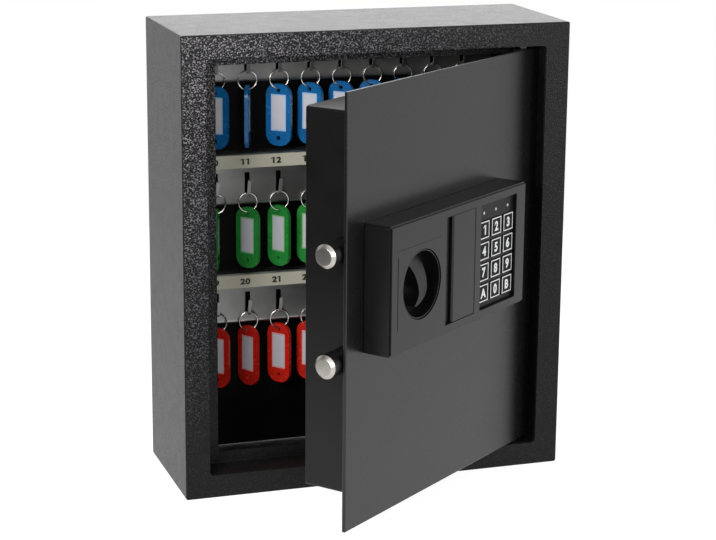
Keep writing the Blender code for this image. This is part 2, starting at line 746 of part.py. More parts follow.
def build_bolt(end, z, door, look):
    profile = [
        (0, 0),
        (BOLT_RADIUS - BOLT_CHAMFER, 0),
        (BOLT_RADIUS, BOLT_CHAMFER),
        (BOLT_RADIUS, BOLT_LENGTH),
        (0, BOLT_LENGTH),
    ]
    centre = (across(BOLT_TIP), behind(BOLT_BACKSET), z)
    add_part(f"bolt_{end}", turned(profile, ROUND_SIDES, "x", centre), look, door, centre)


def build_carriage(door, look):
    """Flat arm to the cam and, at its end, the bar that carries both bolts."""
    origin = (across(BAR_FACE), behind(BOLT_BACKSET), 0)
    bar = door_block(
        BAR_FACE - CARRIAGE_SHEET,
        BAR_FACE,
        CARRIAGE_BACKSET,
        CARRIAGE_BACKSET + CARRIAGE_BAR_WIDTH,
        BOLT_LOWER_Z - CARRIAGE_BAR_END,
        BOLT_UPPER_Z + CARRIAGE_BAR_END,
    )
    carriage = add_part("bolt_carriage", bar, look, door, origin)
    arm = door_block(
        BAR_FACE - ARM_LENGTH,
        BAR_FACE - CARRIAGE_SHEET / 2,
        CARRIAGE_BACKSET,
        CARRIAGE_BACKSET + CARRIAGE_SHEET,
        KNOB_Z - ARM_BELOW,
        KNOB_Z + ARM_ABOVE,
    )
    join(carriage, "arm", arm)
    front = behind(CARRIAGE_BACKSET - OVERRUN)
    back = behind(CARRIAGE_BACKSET + CARRIAGE_SHEET + OVERRUN)
    half = CRANK_PIN_RADIUS + CRANK_CLEARANCE
    pin_x = across(KNOB_ACROSS + BOLT_TRAVEL / 2)
    low = KNOB_Z + CRANK_RADIUS * math.cos(math.radians(45)) - half
    high = KNOB_Z + CRANK_RADIUS + half
    cut(carriage, "crank_slot", block(pin_x - half, pin_x + half, front, back, low, high))


def build_bolt_guide(door, look):
    """Web across the pan that holds the bolts in line."""
    far = PAN_FAR - GUIDE_FROM_PAN
    guide = add_part(
        "bolt_guide",
        door_block(
            far - GUIDE_SHEET,
            far,
            PLATE_THICK + SEAM,
            PAN_DEPTH - PAN_SHEET - SEAM,
            BOLT_LOWER_Z - GUIDE_END,
            BOLT_UPPER_Z + GUIDE_END,
        ),
        look,
        door,
    )
    notches = bolt_notches(far - GUIDE_SHEET - OVERRUN, far + OVERRUN, BOLT_RADIUS + BOLT_RUNNING)
    cut(guide, "bolt_slots", notches)


def build_solenoid(door, look, plunger_look):
    """Solenoid whose plunger rises in front of the carriage's arm and keeps the bolts out."""
    top = KNOB_Z - SOLENOID_BELOW_ARM - ARM_BELOW
    x = across(SOLENOID_ACROSS)
    body = door_block(
        SOLENOID_ACROSS - SOLENOID_WIDTH / 2,
        SOLENOID_ACROSS + SOLENOID_WIDTH / 2,
        PLATE_THICK + SEAM,
        PLATE_THICK + SEAM + SOLENOID_DEPTH,
        top - SOLENOID_HEIGHT,
        top,
    )
    solenoid = add_part("solenoid", body, look, door)
    y = behind(PLUNGER_BACKSET)
    hole = circle(x, y, PLUNGER_RADIUS + SEAM, ROUND_SIDES)
    root = top - PLUNGER_IN
    cut(solenoid, "bore", prism(bmesh.new(), hole, "z", root - SEAM, top + OVERRUN))
    tip = KNOB_Z - ARM_BELOW - PLUNGER_CLEAR
    profile = [
        (0, root),
        (PLUNGER_RADIUS, root),
        (PLUNGER_RADIUS, tip - PLUNGER_RADIUS / 2),
        (PLUNGER_RADIUS / 2, tip),
        (0, tip),
    ]
    plunger = turned(profile, SMALL_SIDES, "z", (x, y, 0))
    add_part("solenoid_plunger", plunger, plunger_look, door, (x, y, tip))


def build_fascia(door, look):
    """Moulded housing, hollow behind, with the knob collar, the cover's pocket and the keypad bezel."""
    bm = door_block(FASCIA_NEAR, FASCIA_FAR, -FASCIA_PROUD, -SEAM, FASCIA_BOTTOM, FASCIA_TOP)
    face_y = behind(-FASCIA_PROUD)
    front = [e for e in bm.edges if any(v.co.y < face_y + SEAM for v in e.verts)]
    bmesh.ops.bevel(bm, geom=front, offset=FASCIA_ROUND, segments=2, affect="EDGES")
    fascia = add_part("lock_fascia", bm, look, door)
    cut(
        fascia,
        "hollow",
        door_block(
            FASCIA_NEAR + FASCIA_WALL,
            FASCIA_FAR - FASCIA_WALL,
            FASCIA_WALL - FASCIA_PROUD,
            OVERRUN,
            FASCIA_BOTTOM + FASCIA_WALL,
            FASCIA_TOP - FASCIA_WALL,
        ),
    )
    inside = FASCIA_WALL / 2 - FASCIA_PROUD
    pocket_back = POCKET_DEPTH + POCKET_FLOOR - FASCIA_PROUD
    join(
        fascia,
        "pocket_tray",
        door_block(
            POCKET_NEAR - POCKET_WALL,
            POCKET_FAR + POCKET_WALL,
            inside,
            pocket_back,
            POCKET_BOTTOM - POCKET_WALL,
            POCKET_TOP + POCKET_WALL,
        ),
    )
    join(
        fascia,
        "bezel",
        door_block(
            PAD_NEAR - POCKET_WALL,
            PAD_FAR + POCKET_WALL,
            inside,
            PAD_BEZEL - FASCIA_PROUD,
            PAD_BOTTOM - POCKET_WALL,
            PAD_TOP + POCKET_WALL,
        ),
    )
    knob_x = across(KNOB_ACROSS)
    bore = KNOB_RADIUS + KNOB_RUNNING
    collar = circle(knob_x, KNOB_Z, bore + COLLAR_WALL, FINE_SIDES)
    collar_back = behind(COLLAR_LENGTH - FASCIA_PROUD)
    join(fascia, "collar", prism(bmesh.new(), collar, "y", behind(inside), collar_back))
    openings = bmesh.new()
    ahead = behind(-FASCIA_PROUD - OVERRUN)
    pocket = rectangle(across(POCKET_FAR), across(POCKET_NEAR), POCKET_BOTTOM, POCKET_TOP)
    prism(openings, pocket, "y", ahead, behind(POCKET_DEPTH - FASCIA_PROUD))
    window = rounded(across(PAD_FAR), across(PAD_NEAR), PAD_BOTTOM, PAD_TOP, KEY_ROUND, 2)
    prism(openings, window, "y", ahead, behind(PAD_BEZEL + OVERRUN - FASCIA_PROUD))
    knob_hole = circle(knob_x, KNOB_Z, bore, FINE_SIDES)
    prism(openings, knob_hole, "y", ahead, behind(COLLAR_LENGTH + OVERRUN - FASCIA_PROUD))
    groove_x = across(FASCIA_FAR - FASCIA_GROOVE_FROM_EDGE)
    groove = rectangle(
        groove_x,
        groove_x + FASCIA_GROOVE_WIDTH,
        FASCIA_BOTTOM + FASCIA_GROOVE_FOOT,
        KNOB_Z + bore,
    )
    prism(openings, groove, "y", ahead, behind(FASCIA_GROOVE_DEPTH - FASCIA_PROUD))
    line = rectangle(
        groove_x + 2 * FASCIA_GROOVE_WIDTH,
        across(POCKET_FAR) - FASCIA_GROOVE_FROM_EDGE,
        FASCIA_LINE_Z,
        FASCIA_LINE_Z + FASCIA_GROOVE_WIDTH,
    )
    prism(openings, line, "y", ahead, behind(FASCIA_LINE_DEPTH - FASCIA_PROUD))
    cut(fascia, "openings", openings)
    lock_hole = circle(across(LOCK_ACROSS), LOCK_Z, LOCK_NOSE_RADIUS + SEAM, ROUND_SIDES)
    lock_back = behind(pocket_back + OVERRUN)
    cut(fascia, "lock_hole", prism(bmesh.new(), lock_hole, "y", ahead, lock_back))


def build_lock_cover(door, look):
    """Narrow cover that slides towards the knob, with a bevelled grip edge on that side."""
    floor = behind(POCKET_DEPTH - SEAM - FASCIA_PROUD)
    face = behind(COVER_SUNK - FASCIA_PROUD)
    far, near = across(COVER_FAR), across(POCKET_NEAR + SEAM)
    outline = [
        (far, floor),
        (far, face + COVER_BEVEL),
        (far + COVER_BEVEL, face),
        (near, face),
        (near, floor),
    ]
    bm = prism(bmesh.new(), outline, "z", POCKET_BOTTOM + SEAM, POCKET_TOP - SEAM)
    origin = (across(COVER_FAR), face, (POCKET_BOTTOM + POCKET_TOP) / 2)
    add_part("lock_cover", bm, look, door, origin)


def build_emergency_lock(door, barrel_look, plug_look):
    """Barrel through the plate behind the cover, with a turning plug and its tail."""
    x = across(LOCK_ACROSS)
    front = behind(POCKET_DEPTH - SEAM + LOCK_COVER_GAP - FASCIA_PROUD)
    shoulder = behind(POCKET_DEPTH + POCKET_FLOOR + SEAM - FASCIA_PROUD)
    back = behind(LOCK_BEHIND)
    profile = [
        (0, back),
        (LOCK_BARREL_RADIUS, back),
        (LOCK_BARREL_RADIUS, shoulder),
        (LOCK_NOSE_RADIUS, shoulder),
        (LOCK_NOSE_RADIUS, front),
        (0, front),
    ]
    barrel = add_part(
        "emergency_lock_barrel",
        turned(profile, ROUND_SIDES, "y", (x, 0, LOCK_Z)),
        barrel_look,
        door,
    )
    bore = circle(x, LOCK_Z, LOCK_PLUG_RADIUS + SEAM, ROUND_SIDES)
    cut(barrel, "bore", prism(bmesh.new(), bore, "y", front - OVERRUN, back + OVERRUN))
    plug_back = back + SEAM + TAIL_THICK / 2
    plug = add_part(
        "emergency_lock_plug",
        prism(
            bmesh.new(),
            circle(x, LOCK_Z, LOCK_PLUG_RADIUS, ROUND_SIDES),
            "y",
            front + SEAM,
            plug_back,
        ),
        plug_look,
        door,
        (x, front, LOCK_Z),
    )
    tail = block(
        x - TAIL_WIDTH / 2,
        x + TAIL_WIDTH / 2,
        back + SEAM,
        back + SEAM + TAIL_THICK,
        LOCK_Z - TAIL_WIDTH / 2,
        LOCK_Z + TAIL_LENGTH,
    )
    join(plug, "tail", tail)
    keyway = block(
        x - KEYWAY_WIDTH / 2,
        x + KEYWAY_WIDTH / 2,
        front - OVERRUN,
        front + KEYWAY_DEPTH,
        LOCK_Z - KEYWAY_HEIGHT / 2,
        LOCK_Z + KEYWAY_HEIGHT / 2,
    )
    cut(plug, "keyway", keyway)


def build_knob(door, knob_look, cam_look):
    """Round cup with a bowed grip ridge, and the spindle with the crank cam that drives the carriage."""
    centre = Vector((across(KNOB_ACROSS), behind(KNOB_SUNK - FASCIA_PROUD), KNOB_Z))
    cup = KNOB_RADIUS - KNOB_RIM
    profile = [
        (0, KNOB_LENGTH),
        (KNOB_RADIUS, KNOB_LENGTH),
        (KNOB_RADIUS, KNOB_RIM_CHAMFER),
        (KNOB_RADIUS - KNOB_RIM_CHAMFER, 0),
        (cup, 0),
        (cup, KNOB_LENGTH - KNOB_FLOOR),
        (0, KNOB_LENGTH - KNOB_FLOOR),
    ]
    knob = add_part(
        "knob", turned(profile, FINE_SIDES, "y", centre), knob_look, door, centre
    )
    reach = cup + KNOB_RIM / 2
    first = (reach * math.cos(KNOB_RIDGE_FROM), reach * math.sin(KNOB_RIDGE_FROM))
    last = (reach * math.cos(KNOB_RIDGE_TO), reach * math.sin(KNOB_RIDGE_TO))
    lean = (KNOB_RIDGE_FROM + KNOB_RIDGE_TO) / 2 - math.pi
    near = (KNOB_RIDGE_NEAR * math.cos(lean), KNOB_RIDGE_NEAR * math.sin(lean))
    far = (KNOB_RIDGE_FAR * math.cos(lean), KNOB_RIDGE_FAR * math.sin(lean))
    bow = arc_through(first, far, last, SMALL_SIDES)
    bow += list(reversed(arc_through(first, near, last, SMALL_SIDES)))[1:-1]
    outline = [(centre.x + x, centre.z + z) for x, z in bow]
    ridge = prism(
        bmesh.new(),
        outline,
        "y",
        centre.y + KNOB_RIDGE_SUNK,
        centre.y + KNOB_LENGTH - KNOB_FLOOR / 2,
    )
    join(knob, "ridge", ridge)
    cam_front = behind(PLATE_THICK + CAM_CLEAR)
    pin_turn = math.radians(135)
    cam = add_part(
        "drive_cam",
        prism(
            bmesh.new(),
            circle(centre.x, KNOB_Z, CAM_RADIUS, ROUND_SIDES),
            "y",
            cam_front,
            cam_front + CAM_THICK,
        ),
        cam_look,
        door,
        (centre.x, cam_front, KNOB_Z),
    )
    spindle = circle(centre.x, KNOB_Z, SPINDLE_RADIUS, ROUND_SIDES)
    spindle_front = centre.y + KNOB_LENGTH + SEAM
    shaft = prism(bmesh.new(), spindle, "y", spindle_front, cam_front + CAM_THICK / 2)
    join(cam, "spindle", shaft)
    pin = circle(
        centre.x + CRANK_RADIUS * math.cos(pin_turn),
        KNOB_Z + CRANK_RADIUS * math.sin(pin_turn),
        CRANK_PIN_RADIUS,
        SMALL_SIDES,
    )
    pin_back = cam_front + CAM_THICK + CRANK_PIN_PROUD
    join(cam, "pin", prism(bmesh.new(), pin, "y", cam_front + CAM_THICK / 2, pin_back))


def key_place(index):
    """Column and row of a key, as its distance across and its height."""
    column, row = index % KEY_COLUMNS, index // KEY_COLUMNS
    middle = (PAD_NEAR + PAD_FAR) / 2
    u = middle + KEY_PITCH_X * ((KEY_COLUMNS - 1) / 2 - column)
    return u, KEY_TOP_ROW_Z - row * KEY_PITCH_Z


def build_keypad(door, plate_look, key_look, board_look):
    """Plate in the window with a hole for each key, the keys, and the board behind."""
    face = PAD_SUNK - FASCIA_PROUD
    plate = add_part(
        "keypad_plate",
        door_block(
            PAD_NEAR + SEAM,
            PAD_FAR - SEAM,
            face,
            face + PAD_PLATE,
            PAD_BOTTOM + SEAM,
            PAD_TOP - SEAM,
        ),
        plate_look,
        door,
    )
    holes = bmesh.new()
    for index, name in enumerate(KEY_NAMES):
        u, z = key_place(index)
        x, half_x, half_z = across(u), KEY_WIDTH / 2, KEY_HEIGHT / 2
        hole = rectangle(
            x - half_x - SEAM, x + half_x + SEAM, z - half_z - SEAM, z + half_z + SEAM
        )
        prism(holes, hole, "y", behind(face - OVERRUN), behind(face + PAD_PLATE + OVERRUN))
        front = behind(face - KEY_PROUD)
        outline = rounded(x - half_x, x + half_x, z - half_z, z + half_z, KEY_ROUND, 2)
        key = prism(bmesh.new(), outline, "y", front, front + KEY_LENGTH)
        add_part(f"key_{name}", key, key_look, door, (x, front, z))
    cut(plate, "holes", holes)
    front = PAD_BEZEL + SEAM - FASCIA_PROUD
    board = door_block(
        PAD_NEAR - POCKET_WALL,
        PAD_FAR + POCKET_WALL,
        front,
        front + BOARD_THICK,
        PAD_BOTTOM - POCKET_WALL,
        PAD_TOP + POCKET_WALL,
    )
    add_part("keypad_board", board, board_look, door)


def build_battery(door, box_look, cover_look):
    """Battery box inside the pan, open towards the cabinet, and the cover that slides down off it."""
    far = BATTERY_NEAR + BATTERY_WIDTH
    foot = BATTERY_TOP - BATTERY_HEIGHT
    back = PAN_DEPTH - PAN_SHEET - SEAM
    box = add_part(
        "battery_box",
        door_block(BATTERY_NEAR, far, back - BATTERY_DEPTH, back, foot, BATTERY_TOP),
        box_look,
        door,
    )
    cut(
        box,
        "inside",
        door_block(
            BATTERY_NEAR + BATTERY_WALL,
            far - BATTERY_WALL,
            back - BATTERY_DEPTH + BATTERY_WALL,
            back + OVERRUN,
            foot + BATTERY_WALL,
            BATTERY_TOP - BATTERY_WALL,
        ),
    )
    face = PAN_DEPTH + SEAM
    middle = (BATTERY_NEAR + far) / 2
    cover = add_part(
        "battery_cover",
        door_block(
            BATTERY_NEAR - BATTERY_COVER_LIP,
            far + BATTERY_COVER_LIP,
            face,
            face + BATTERY_COVER_THICK,
            foot - BATTERY_COVER_LIP,
            BATTERY_TOP + BATTERY_COVER_LIP,
        ),
        cover_look,
        door,
        (across(middle), behind(face), BATTERY_TOP),
    )
    ribs = bmesh.new()
    for i in range(BATTERY_RIBS):
        z = BATTERY_TOP - (i + 1) * BATTERY_RIB_PITCH
        rib = rectangle(
            across(middle) - BATTERY_RIB_WIDTH / 2,
            across(middle) + BATTERY_RIB_WIDTH / 2,
            z,
            z + BATTERY_RIB_THICK,
        )
        rib_back = face + BATTERY_COVER_THICK + BATTERY_RIB_PROUD
        prism(ribs, rib, "y", behind(face + BATTERY_COVER_THICK / 2), behind(rib_back))
    join(cover, "ribs", ribs)


def main():
    clear_scene()
    coat = material("black_powder_coat", (0.02, 0.02, 0.022), 0.45)
    satin = material("satin_dark_grey", (0.06, 0.06, 0.065), 0.4)
    plastic = material("dark_plastic", (0.055, 0.057, 0.062), 0.35)
    black = material("black_plastic", (0.01, 0.01, 0.011), 0.3)
    rubber = material("key_rubber", (0.012, 0.012, 0.013), 0.6)
    zinc = material("zinc_sheet", (0.45, 0.46, 0.47), 0.4, 1.0)
    nickel = material("nickel", (0.6, 0.58, 0.55), 0.25, 1.0)
    brass = material("brass", (0.62, 0.47, 0.22), 0.3, 1.0)
    board = material("circuit_board", (0.02, 0.12, 0.05), 0.5)
    cream = material("number_strip", (0.58, 0.55, 0.42), 0.5)
    tag_looks = {
        "upper": material("blue_tag", (0.02, 0.2, 0.52), 0.3),
        "middle": material("green_tag", (0.03, 0.25, 0.06), 0.3),
        "lower": material("red_tag", (0.5, 0.02, 0.01), 0.3),
    }
    build_shell(coat)
    build_door_frame(coat)
    build_back_panel(coat)
    for row in range(len(RAIL_NAMES)):
        build_rail(row, zinc)
        build_number_strip(row, cream)
    for row_name, turn_shares in TAG_TURN_SHARES.items():
        for number, turn_share in enumerate(turn_shares, 1):
            turn = turn_share * math.radians(90)
            build_tag(row_name, number, turn, tag_looks[row_name])
    door = add_door_pivot()
    build_door_plate(door, satin)
    build_door_pan(door, coat)
    build_hinge("top", 1, door, coat, zinc)
    build_hinge("foot", -1, door, coat, zinc)
    build_fascia(door, plastic)
    build_lock_cover(door, plastic)
    build_emergency_lock(door, zinc, brass)
    build_knob(door, plastic, zinc)
    build_bolt("upper", BOLT_UPPER_Z, door, nickel)
    build_bolt("lower", BOLT_LOWER_Z, door, nickel)
    build_carriage(door, zinc)
    build_bolt_guide(door, zinc)
    build_solenoid(door, zinc, nickel)
    build_keypad(door, black, rubber, board)
    build_battery(door, black, black)


main()
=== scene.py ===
"""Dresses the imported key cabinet: finishes, fine surfaces, numbers, studio. Metres, +Z up."""

import json
import math

import bmesh
import bpy
from mathutils import Matrix, Vector


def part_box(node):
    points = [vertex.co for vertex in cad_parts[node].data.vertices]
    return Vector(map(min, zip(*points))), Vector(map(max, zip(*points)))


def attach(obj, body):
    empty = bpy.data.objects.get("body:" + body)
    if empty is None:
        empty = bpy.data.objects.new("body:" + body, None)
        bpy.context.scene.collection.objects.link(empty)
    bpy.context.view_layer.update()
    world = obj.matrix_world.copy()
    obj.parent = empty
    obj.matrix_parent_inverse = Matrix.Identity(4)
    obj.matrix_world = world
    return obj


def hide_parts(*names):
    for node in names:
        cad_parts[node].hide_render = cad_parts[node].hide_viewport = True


# Camera, fitted to the cabinet's edges in the photograph
CAMERA_TARGET = Vector((-0.01717, -0.117, -0.00618))
CAMERA_AZIMUTH = math.radians(-18.45)
CAMERA_ELEVATION = math.radians(14.42)
CAMERA_ROLL = math.radians(0.49)
CAMERA_DISTANCE = 1.62522
CAMERA_LENS = 104.49
CAMERA_SENSOR = 36.0
CAMERA_CLIP = 0.05

# Knob. Its ridge lies between two bows, given from the knob's middle: a bow starts on the cup's wall,
# passes a point near the middle and ends at the tip that both share. Towards the top its front falls
# back, from a height given in shares of the knob's radius.
KNOB_RIM = 0.001
KNOB_RIM_ROUND = 0.0005
KNOB_RIM_CHAMFER = 0.0002
KNOB_FLOOR = 0.003
KNOB_RIDGE_SUNK = 0.0012
KNOB_RIDGE_DIP = 0.0078
KNOB_RIDGE_DIP_FROM = -0.3
KNOB_RIDGE_NEAR = (0.0003, -0.0003)
KNOB_RIDGE_FAR = (0.0121, -0.0013)
KNOB_RIDGE_TIP = (-0.0076, -0.0160)
KNOB_RIDGE_NEAR_FROM = math.radians(131)
KNOB_RIDGE_FAR_FROM = math.radians(95)
KNOB_RIDGE_ROUND = 0.0008
KNOB_RIDGE_STEPS = 32

# Bolts. The chamfer's two edges are eased by short slopes: along the bolt, and across it
BOLT_CHAMFER = 0.0024
BOLT_EASE = 0.00025
BOLT_EASE_ALONG = 0.0001
BOLT_EASE_ACROSS = 0.00015

# Keypad: keys, their printed legends, and lamps
KEY_ROUND = 0.0003
LEGEND_LINE = 0.0008
LEGEND_INSET = 0.0002
LEGEND_HEIGHT = 0.0098
LEGEND_BOLD = 0.00042
INK_THICK = 0.00004
LETTER_STEPS = 6
LAMP_RADIUS = 0.0013
LAMP_DOME = 0.00052
LAMP_SUNK = 0.00039
LAMP_STEPS = 6
LAMP_ABOVE_KEYS = 0.0062

# Hook rails and number strips
HOOKS_PER_RAIL = 9
RAIL_NAMES = ("upper", "middle", "lower")
NUMBER_HEIGHT = 0.0064
NUMBER_STRETCH = 1.22
NUMBER_SPACING = 1.1
NUMBER_BOLD = 0.00034
NUMBER_SHIFT = -0.0022

# The flag of a digit 1, in shares of its height: reach, drop and stroke
ONE_NARROW_SHARE = 0.35
ONE_FLAG_SHARES = (0.26, 0.17, 0.15)

# Key tags and split rings. A tag bites a little into its ring's wire, so that it hangs on it
RING_RADIUS = 0.0077
RING_WIRE = 0.00055
RING_TURNS = 2
RING_PITCH = 0.00108
RING_SIDES = 8
RING_STEPS_PER_TURN = 40
TAG_LENGTH = 0.0506
TAG_WIDTH = 0.022
TAG_THICK = 0.0032
TAG_CORNER = 0.0095
TAG_CORNER_STEPS = 10
TAG_ROUND = 0.0012
TAG_EYE_RADIUS = 0.0018
TAG_EYE_SIDES = 24
TAG_EYE_FROM_TOP = 0.0052
TAG_FOOT_HOLE_RADIUS = 0.0018
TAG_FOOT_HOLE_SIDES = 20
TAG_FOOT_HOLE_FROM_END = 0.0064
LABEL_FROM_SIDE = 0.0042
LABEL_FROM_TOP = 0.0084
LABEL_FROM_FOOT = 0.012
LABEL_CORNER = 0.0008
LABEL_CORNER_STEPS = 4
LABEL_SUNK = 0.0005
LABEL_MARGIN = 0.0002
LABEL_BORDER = 0.0012
LABEL_BORDER_THICK = 0.0002
LABEL_PAPER_THICK = 0.0003
LABEL_BITE = 0.0001
TAG_BITE = 0.0003

# Tags without a CAD node: how far they are turned, and how that sways from one to the next
EXTRA_TAG_TURN = math.radians(-45)
EXTRA_TAG_SWAY = math.radians(9)
EXTRA_TAG_BEAT = 2.1

# Flecks of the hammered coat, partly its grain and partly painted glints: where the noise rises from
# coat to fleck, and a painted light that makes them strong towards the upper left and faint towards the
# lower right. A slope is a direction, and where it starts and ends along it from the middle
FLECK_SCALE = 840
FLECK_EDGES = (0.5, 0.72)
PAINTED_LIGHT_SLOPE = ((-1, 0, 0.9), 0.02, 0.27)
PAINTED_LIGHT_LEAST = 0.06
FLECK_AND_GLINT_COLOURS = ((0.075, 0.071, 0.078), (0.27, 0.26, 0.275))

# Slopes over the shell's front edges, beyond which the flecks are faint: painted shade that keeps the
# left side, the top and the faces behind the front plainer and darker than the front
SHELL_PAINTED_SHADE_FADES = (
    ((0, -1, 0), 0.1135, 0.1165),
    ((-1, 0, 0), 0.1569, 0.1556),
    ((0, 0, 1), 0.1824, 0.1811),
)
PAINTED_SHADE_LEAST = 0.1

# Lamps: name, place, target, width, height, watts
LAMPS = (
    ("back_box", (0.5, 1.5, 0.66), (0.05, -0.06, 0.18), 1.8, 0.9, 7.5),
    ("top_box", (0.0, 0.1, 1.4), (0, -0.06, 0), 1.0, 1.0, 5),
    ("front_box", (-0.22, -1.3, 0.32), (-0.05, -0.1, 0.04), 0.4, 0.4, 5.2),
    ("left_box", (-0.5, -0.6, 0.3), (-0.05, -0.05, 0.05), 0.2, 0.2, 4),
    ("fill_box", (1.3, -1.3, 0.4), (0, -0.06, 0), 1.0, 1.0, 14),
)

# World and stage: what they give as light, and what the camera and reflections see of them
WORLD_LIGHT = 0.16
WORLD_SEEN = 1.0
FLOOR_RADIUS = 0.9
FLOOR_MIDDLE_Y = -0.1
FLOOR_GREY = 0.3
FLOOR_SEEN = 0.9
CARD_X = -0.62
CARD_Y = (-1.5, 0.3)
CARD_TOP = 1.2
CARD_GREY = 0.02
STAGE_ROUGHNESS = 0.9

# Meshes
SHARP_ANGLE = math.radians(32)
EDGE_ANGLE = math.radians(30)
EDGE_SEGMENTS = 2
FLAT_ANGLE = math.radians(1)
ROUND_SEGMENTS = 3
ROUND_PROFILE = 0.5
ROUND_MIDDLE = 0.3  # how far the middle of a rounded corner stands off its sides, in radii
ROUND_SIDES = 96
SMALL_SIDES = 32
HEIGHT_DIGITS = 6
RADIUS_DIGITS = 5
OVERRUN = 0.002
WELD = 0.000001


def find_joint(name):
    return next(j for j in frame["joints"] if j["name"] == name)


def body_of(node):
    groups = frame["record"]["behaviour"]["bodies"]
    return next(body for body, members in groups.items() if node in members)


def box_in(node, matrix):
    """Lowest and highest corner of a CAD node in the frame that a matrix leads to."""
    points = [matrix @ v.co for v in frame["nodes"][node].data.vertices]
    low = Vector([min(p[i] for p in points) for i in range(3)])
    high = Vector([max(p[i] for p in points) for i in range(3)])
    return low, high


# Procedural materials


class Look:
    """A Principled material with short helpers for its nodes."""

    def __init__(self, name, colour, roughness, metallic=0.0, specular=0.5):
        self.material = bpy.data.materials.new(name)
        self.material.use_nodes = True
        self.tree = self.material.node_tree
        self.shader = self.tree.nodes["Principled BSDF"]
        self.set("Base Color", (*colour, 1))
        self.set("Roughness", roughness)
        self.set("Metallic", metallic)
        self.set("Specular IOR Level", specular)
        self.place = self.tree.nodes.new("ShaderNodeTexCoord").outputs["Object"]

    def set(self, socket, value):
        self.shader.inputs[socket].default_value = value

    def link(self, output, target):
        self.tree.links.new(output, target)

    def stretched(self, scale):
        mapping = self.tree.nodes.new("ShaderNodeMapping")
        mapping.inputs["Scale"].default_value = scale
        self.link(self.place, mapping.inputs["Vector"])
        return mapping.outputs["Vector"]

    def noise(self, scale, detail=2.0, roughness=0.5, place=None):
        node = self.tree.nodes.new("ShaderNodeTexNoise")
        node.inputs["Scale"].default_value = scale
        node.inputs["Detail"].default_value = detail
        node.inputs["Roughness"].default_value = roughness
        self.link(place or self.place, node.inputs["Vector"])
        return node.outputs["Fac"]

    def ramp(self, value, stops):
        """Colour or level by value: stops are (position, colour)."""
        node = self.tree.nodes.new("ShaderNodeValToRGB")
        node.color_ramp.elements[0].position = stops[0][0]
        node.color_ramp.elements[0].color = (*stops[0][1], 1)
        node.color_ramp.elements[1].position = stops[-1][0]
        node.color_ramp.elements[1].color = (*stops[-1][1], 1)
        for position, colour in stops[1:-1]:
            node.color_ramp.elements.new(position).color = (*colour, 1)
        self.link(value, node.inputs["Fac"])
        return node.outputs["Color"]

    def spread(self, value, low, high):
        """A value from 0 to 1 mapped to the range from low to high."""
        node = self.tree.nodes.new("ShaderNodeMapRange")
        node.inputs["To Min"].default_value = low
        node.inputs["To Max"].default_value = high
        self.link(value, node.inputs["Value"])
        return node.outputs["Result"]

    def slope_of(self, value, start, end):
        """A value mapped so that start gives 0 and end gives 1, and clamped."""
        node = self.tree.nodes.new("ShaderNodeMapRange")
        node.inputs["From Min"].default_value = start
        node.inputs["From Max"].default_value = end
        self.link(value, node.inputs["Value"])
        return node.outputs["Result"]

    def slope(self, direction, start, end):
        """From 0 to 1 over the object along a direction, between two distances from its middle."""
        node = self.tree.nodes.new("ShaderNodeVectorMath")
        node.operation = "DOT_PRODUCT"
        node.inputs[1].default_value = direction
        self.link(self.place, node.inputs[0])
        return self.slope_of(node.outputs["Value"], start, end)

    def math(self, operation, first, second):
        node = self.tree.nodes.new("ShaderNodeMath")
        node.operation = operation
        self.link(first, node.inputs[0])
        self.link(second, node.inputs[1])
        return node.outputs["Value"]

    def add(self, first, second):
        return self.math("ADD", first, second)

    def times(self, first, second):
        return self.math("MULTIPLY", first, second)

    def bump(self, height, distance):
        node = self.tree.nodes.new("ShaderNodeBump")
        node.inputs["Distance"].default_value = distance
        self.link(height, node.inputs["Height"])
        self.link(node.outputs["Normal"], self.shader.inputs["Normal"])

    def colour(self, output):
        self.link(output, self.shader.inputs["Base Color"])

    def roughness(self, output):
        self.link(output, self.shader.inputs["Roughness"])


def grey(level):
    return (level, level, level)


def shades(colour, dark, light):
    """Stops of a ramp between a darker and a lighter shade of a colour."""
    return [(0.3, tuple(c * dark for c in colour)), (0.7, tuple(c * light for c in colour))]


def hammer_coat(name, fades=()):
    """Black hammered coat with pale flecks, partly its grain and partly painted glints. Painted light makes them
    strong towards the upper left, and painted shade makes them faint past each fade.
    """
    look = Look(name, grey(0.01), 0.3, specular=0.16)
    flecks = look.noise(FLECK_SCALE, detail=1.5, roughness=0.45)
    # painted light: the flecks grow from faint at the lower right to strong at the upper left
    painted_light = look.spread(look.slope(*PAINTED_LIGHT_SLOPE), PAINTED_LIGHT_LEAST, 1.0)
    # painted shade: past each fade the flecks turn faint
    for fade in fades:
        painted_light = look.times(painted_light, look.spread(look.slope(*fade), PAINTED_SHADE_LEAST, 1.0))
    shown = look.times(look.slope_of(flecks, *FLECK_EDGES), painted_light)
    pale, bright = FLECK_AND_GLINT_COLOURS
    look.colour(look.ramp(shown, [(0.0, grey(0.005)), (0.3, pale), (1.0, bright)]))
    look.roughness(look.spread(look.noise(90), 0.26, 0.36))
    look.bump(look.add(look.times(flecks, painted_light), look.noise(1100, detail=1.0)), distance=0.0004)
    return look.material


def shade_black_coat():
    """Near-black matt coat without flecks, given to the back panel in place of its hammered coat: painted shade
    inside the body.
    """
    look = Look("shade_black_coat", grey(0.002), 0.5, specular=0.06)
    look.colour(look.ramp(look.noise(30, detail=3.0), [(0.3, grey(0.0015)), (0.7, grey(0.003))]))
    look.roughness(look.spread(look.noise(200), 0.45, 0.58))
    look.bump(look.noise(700), distance=0.00005)
    return look.material


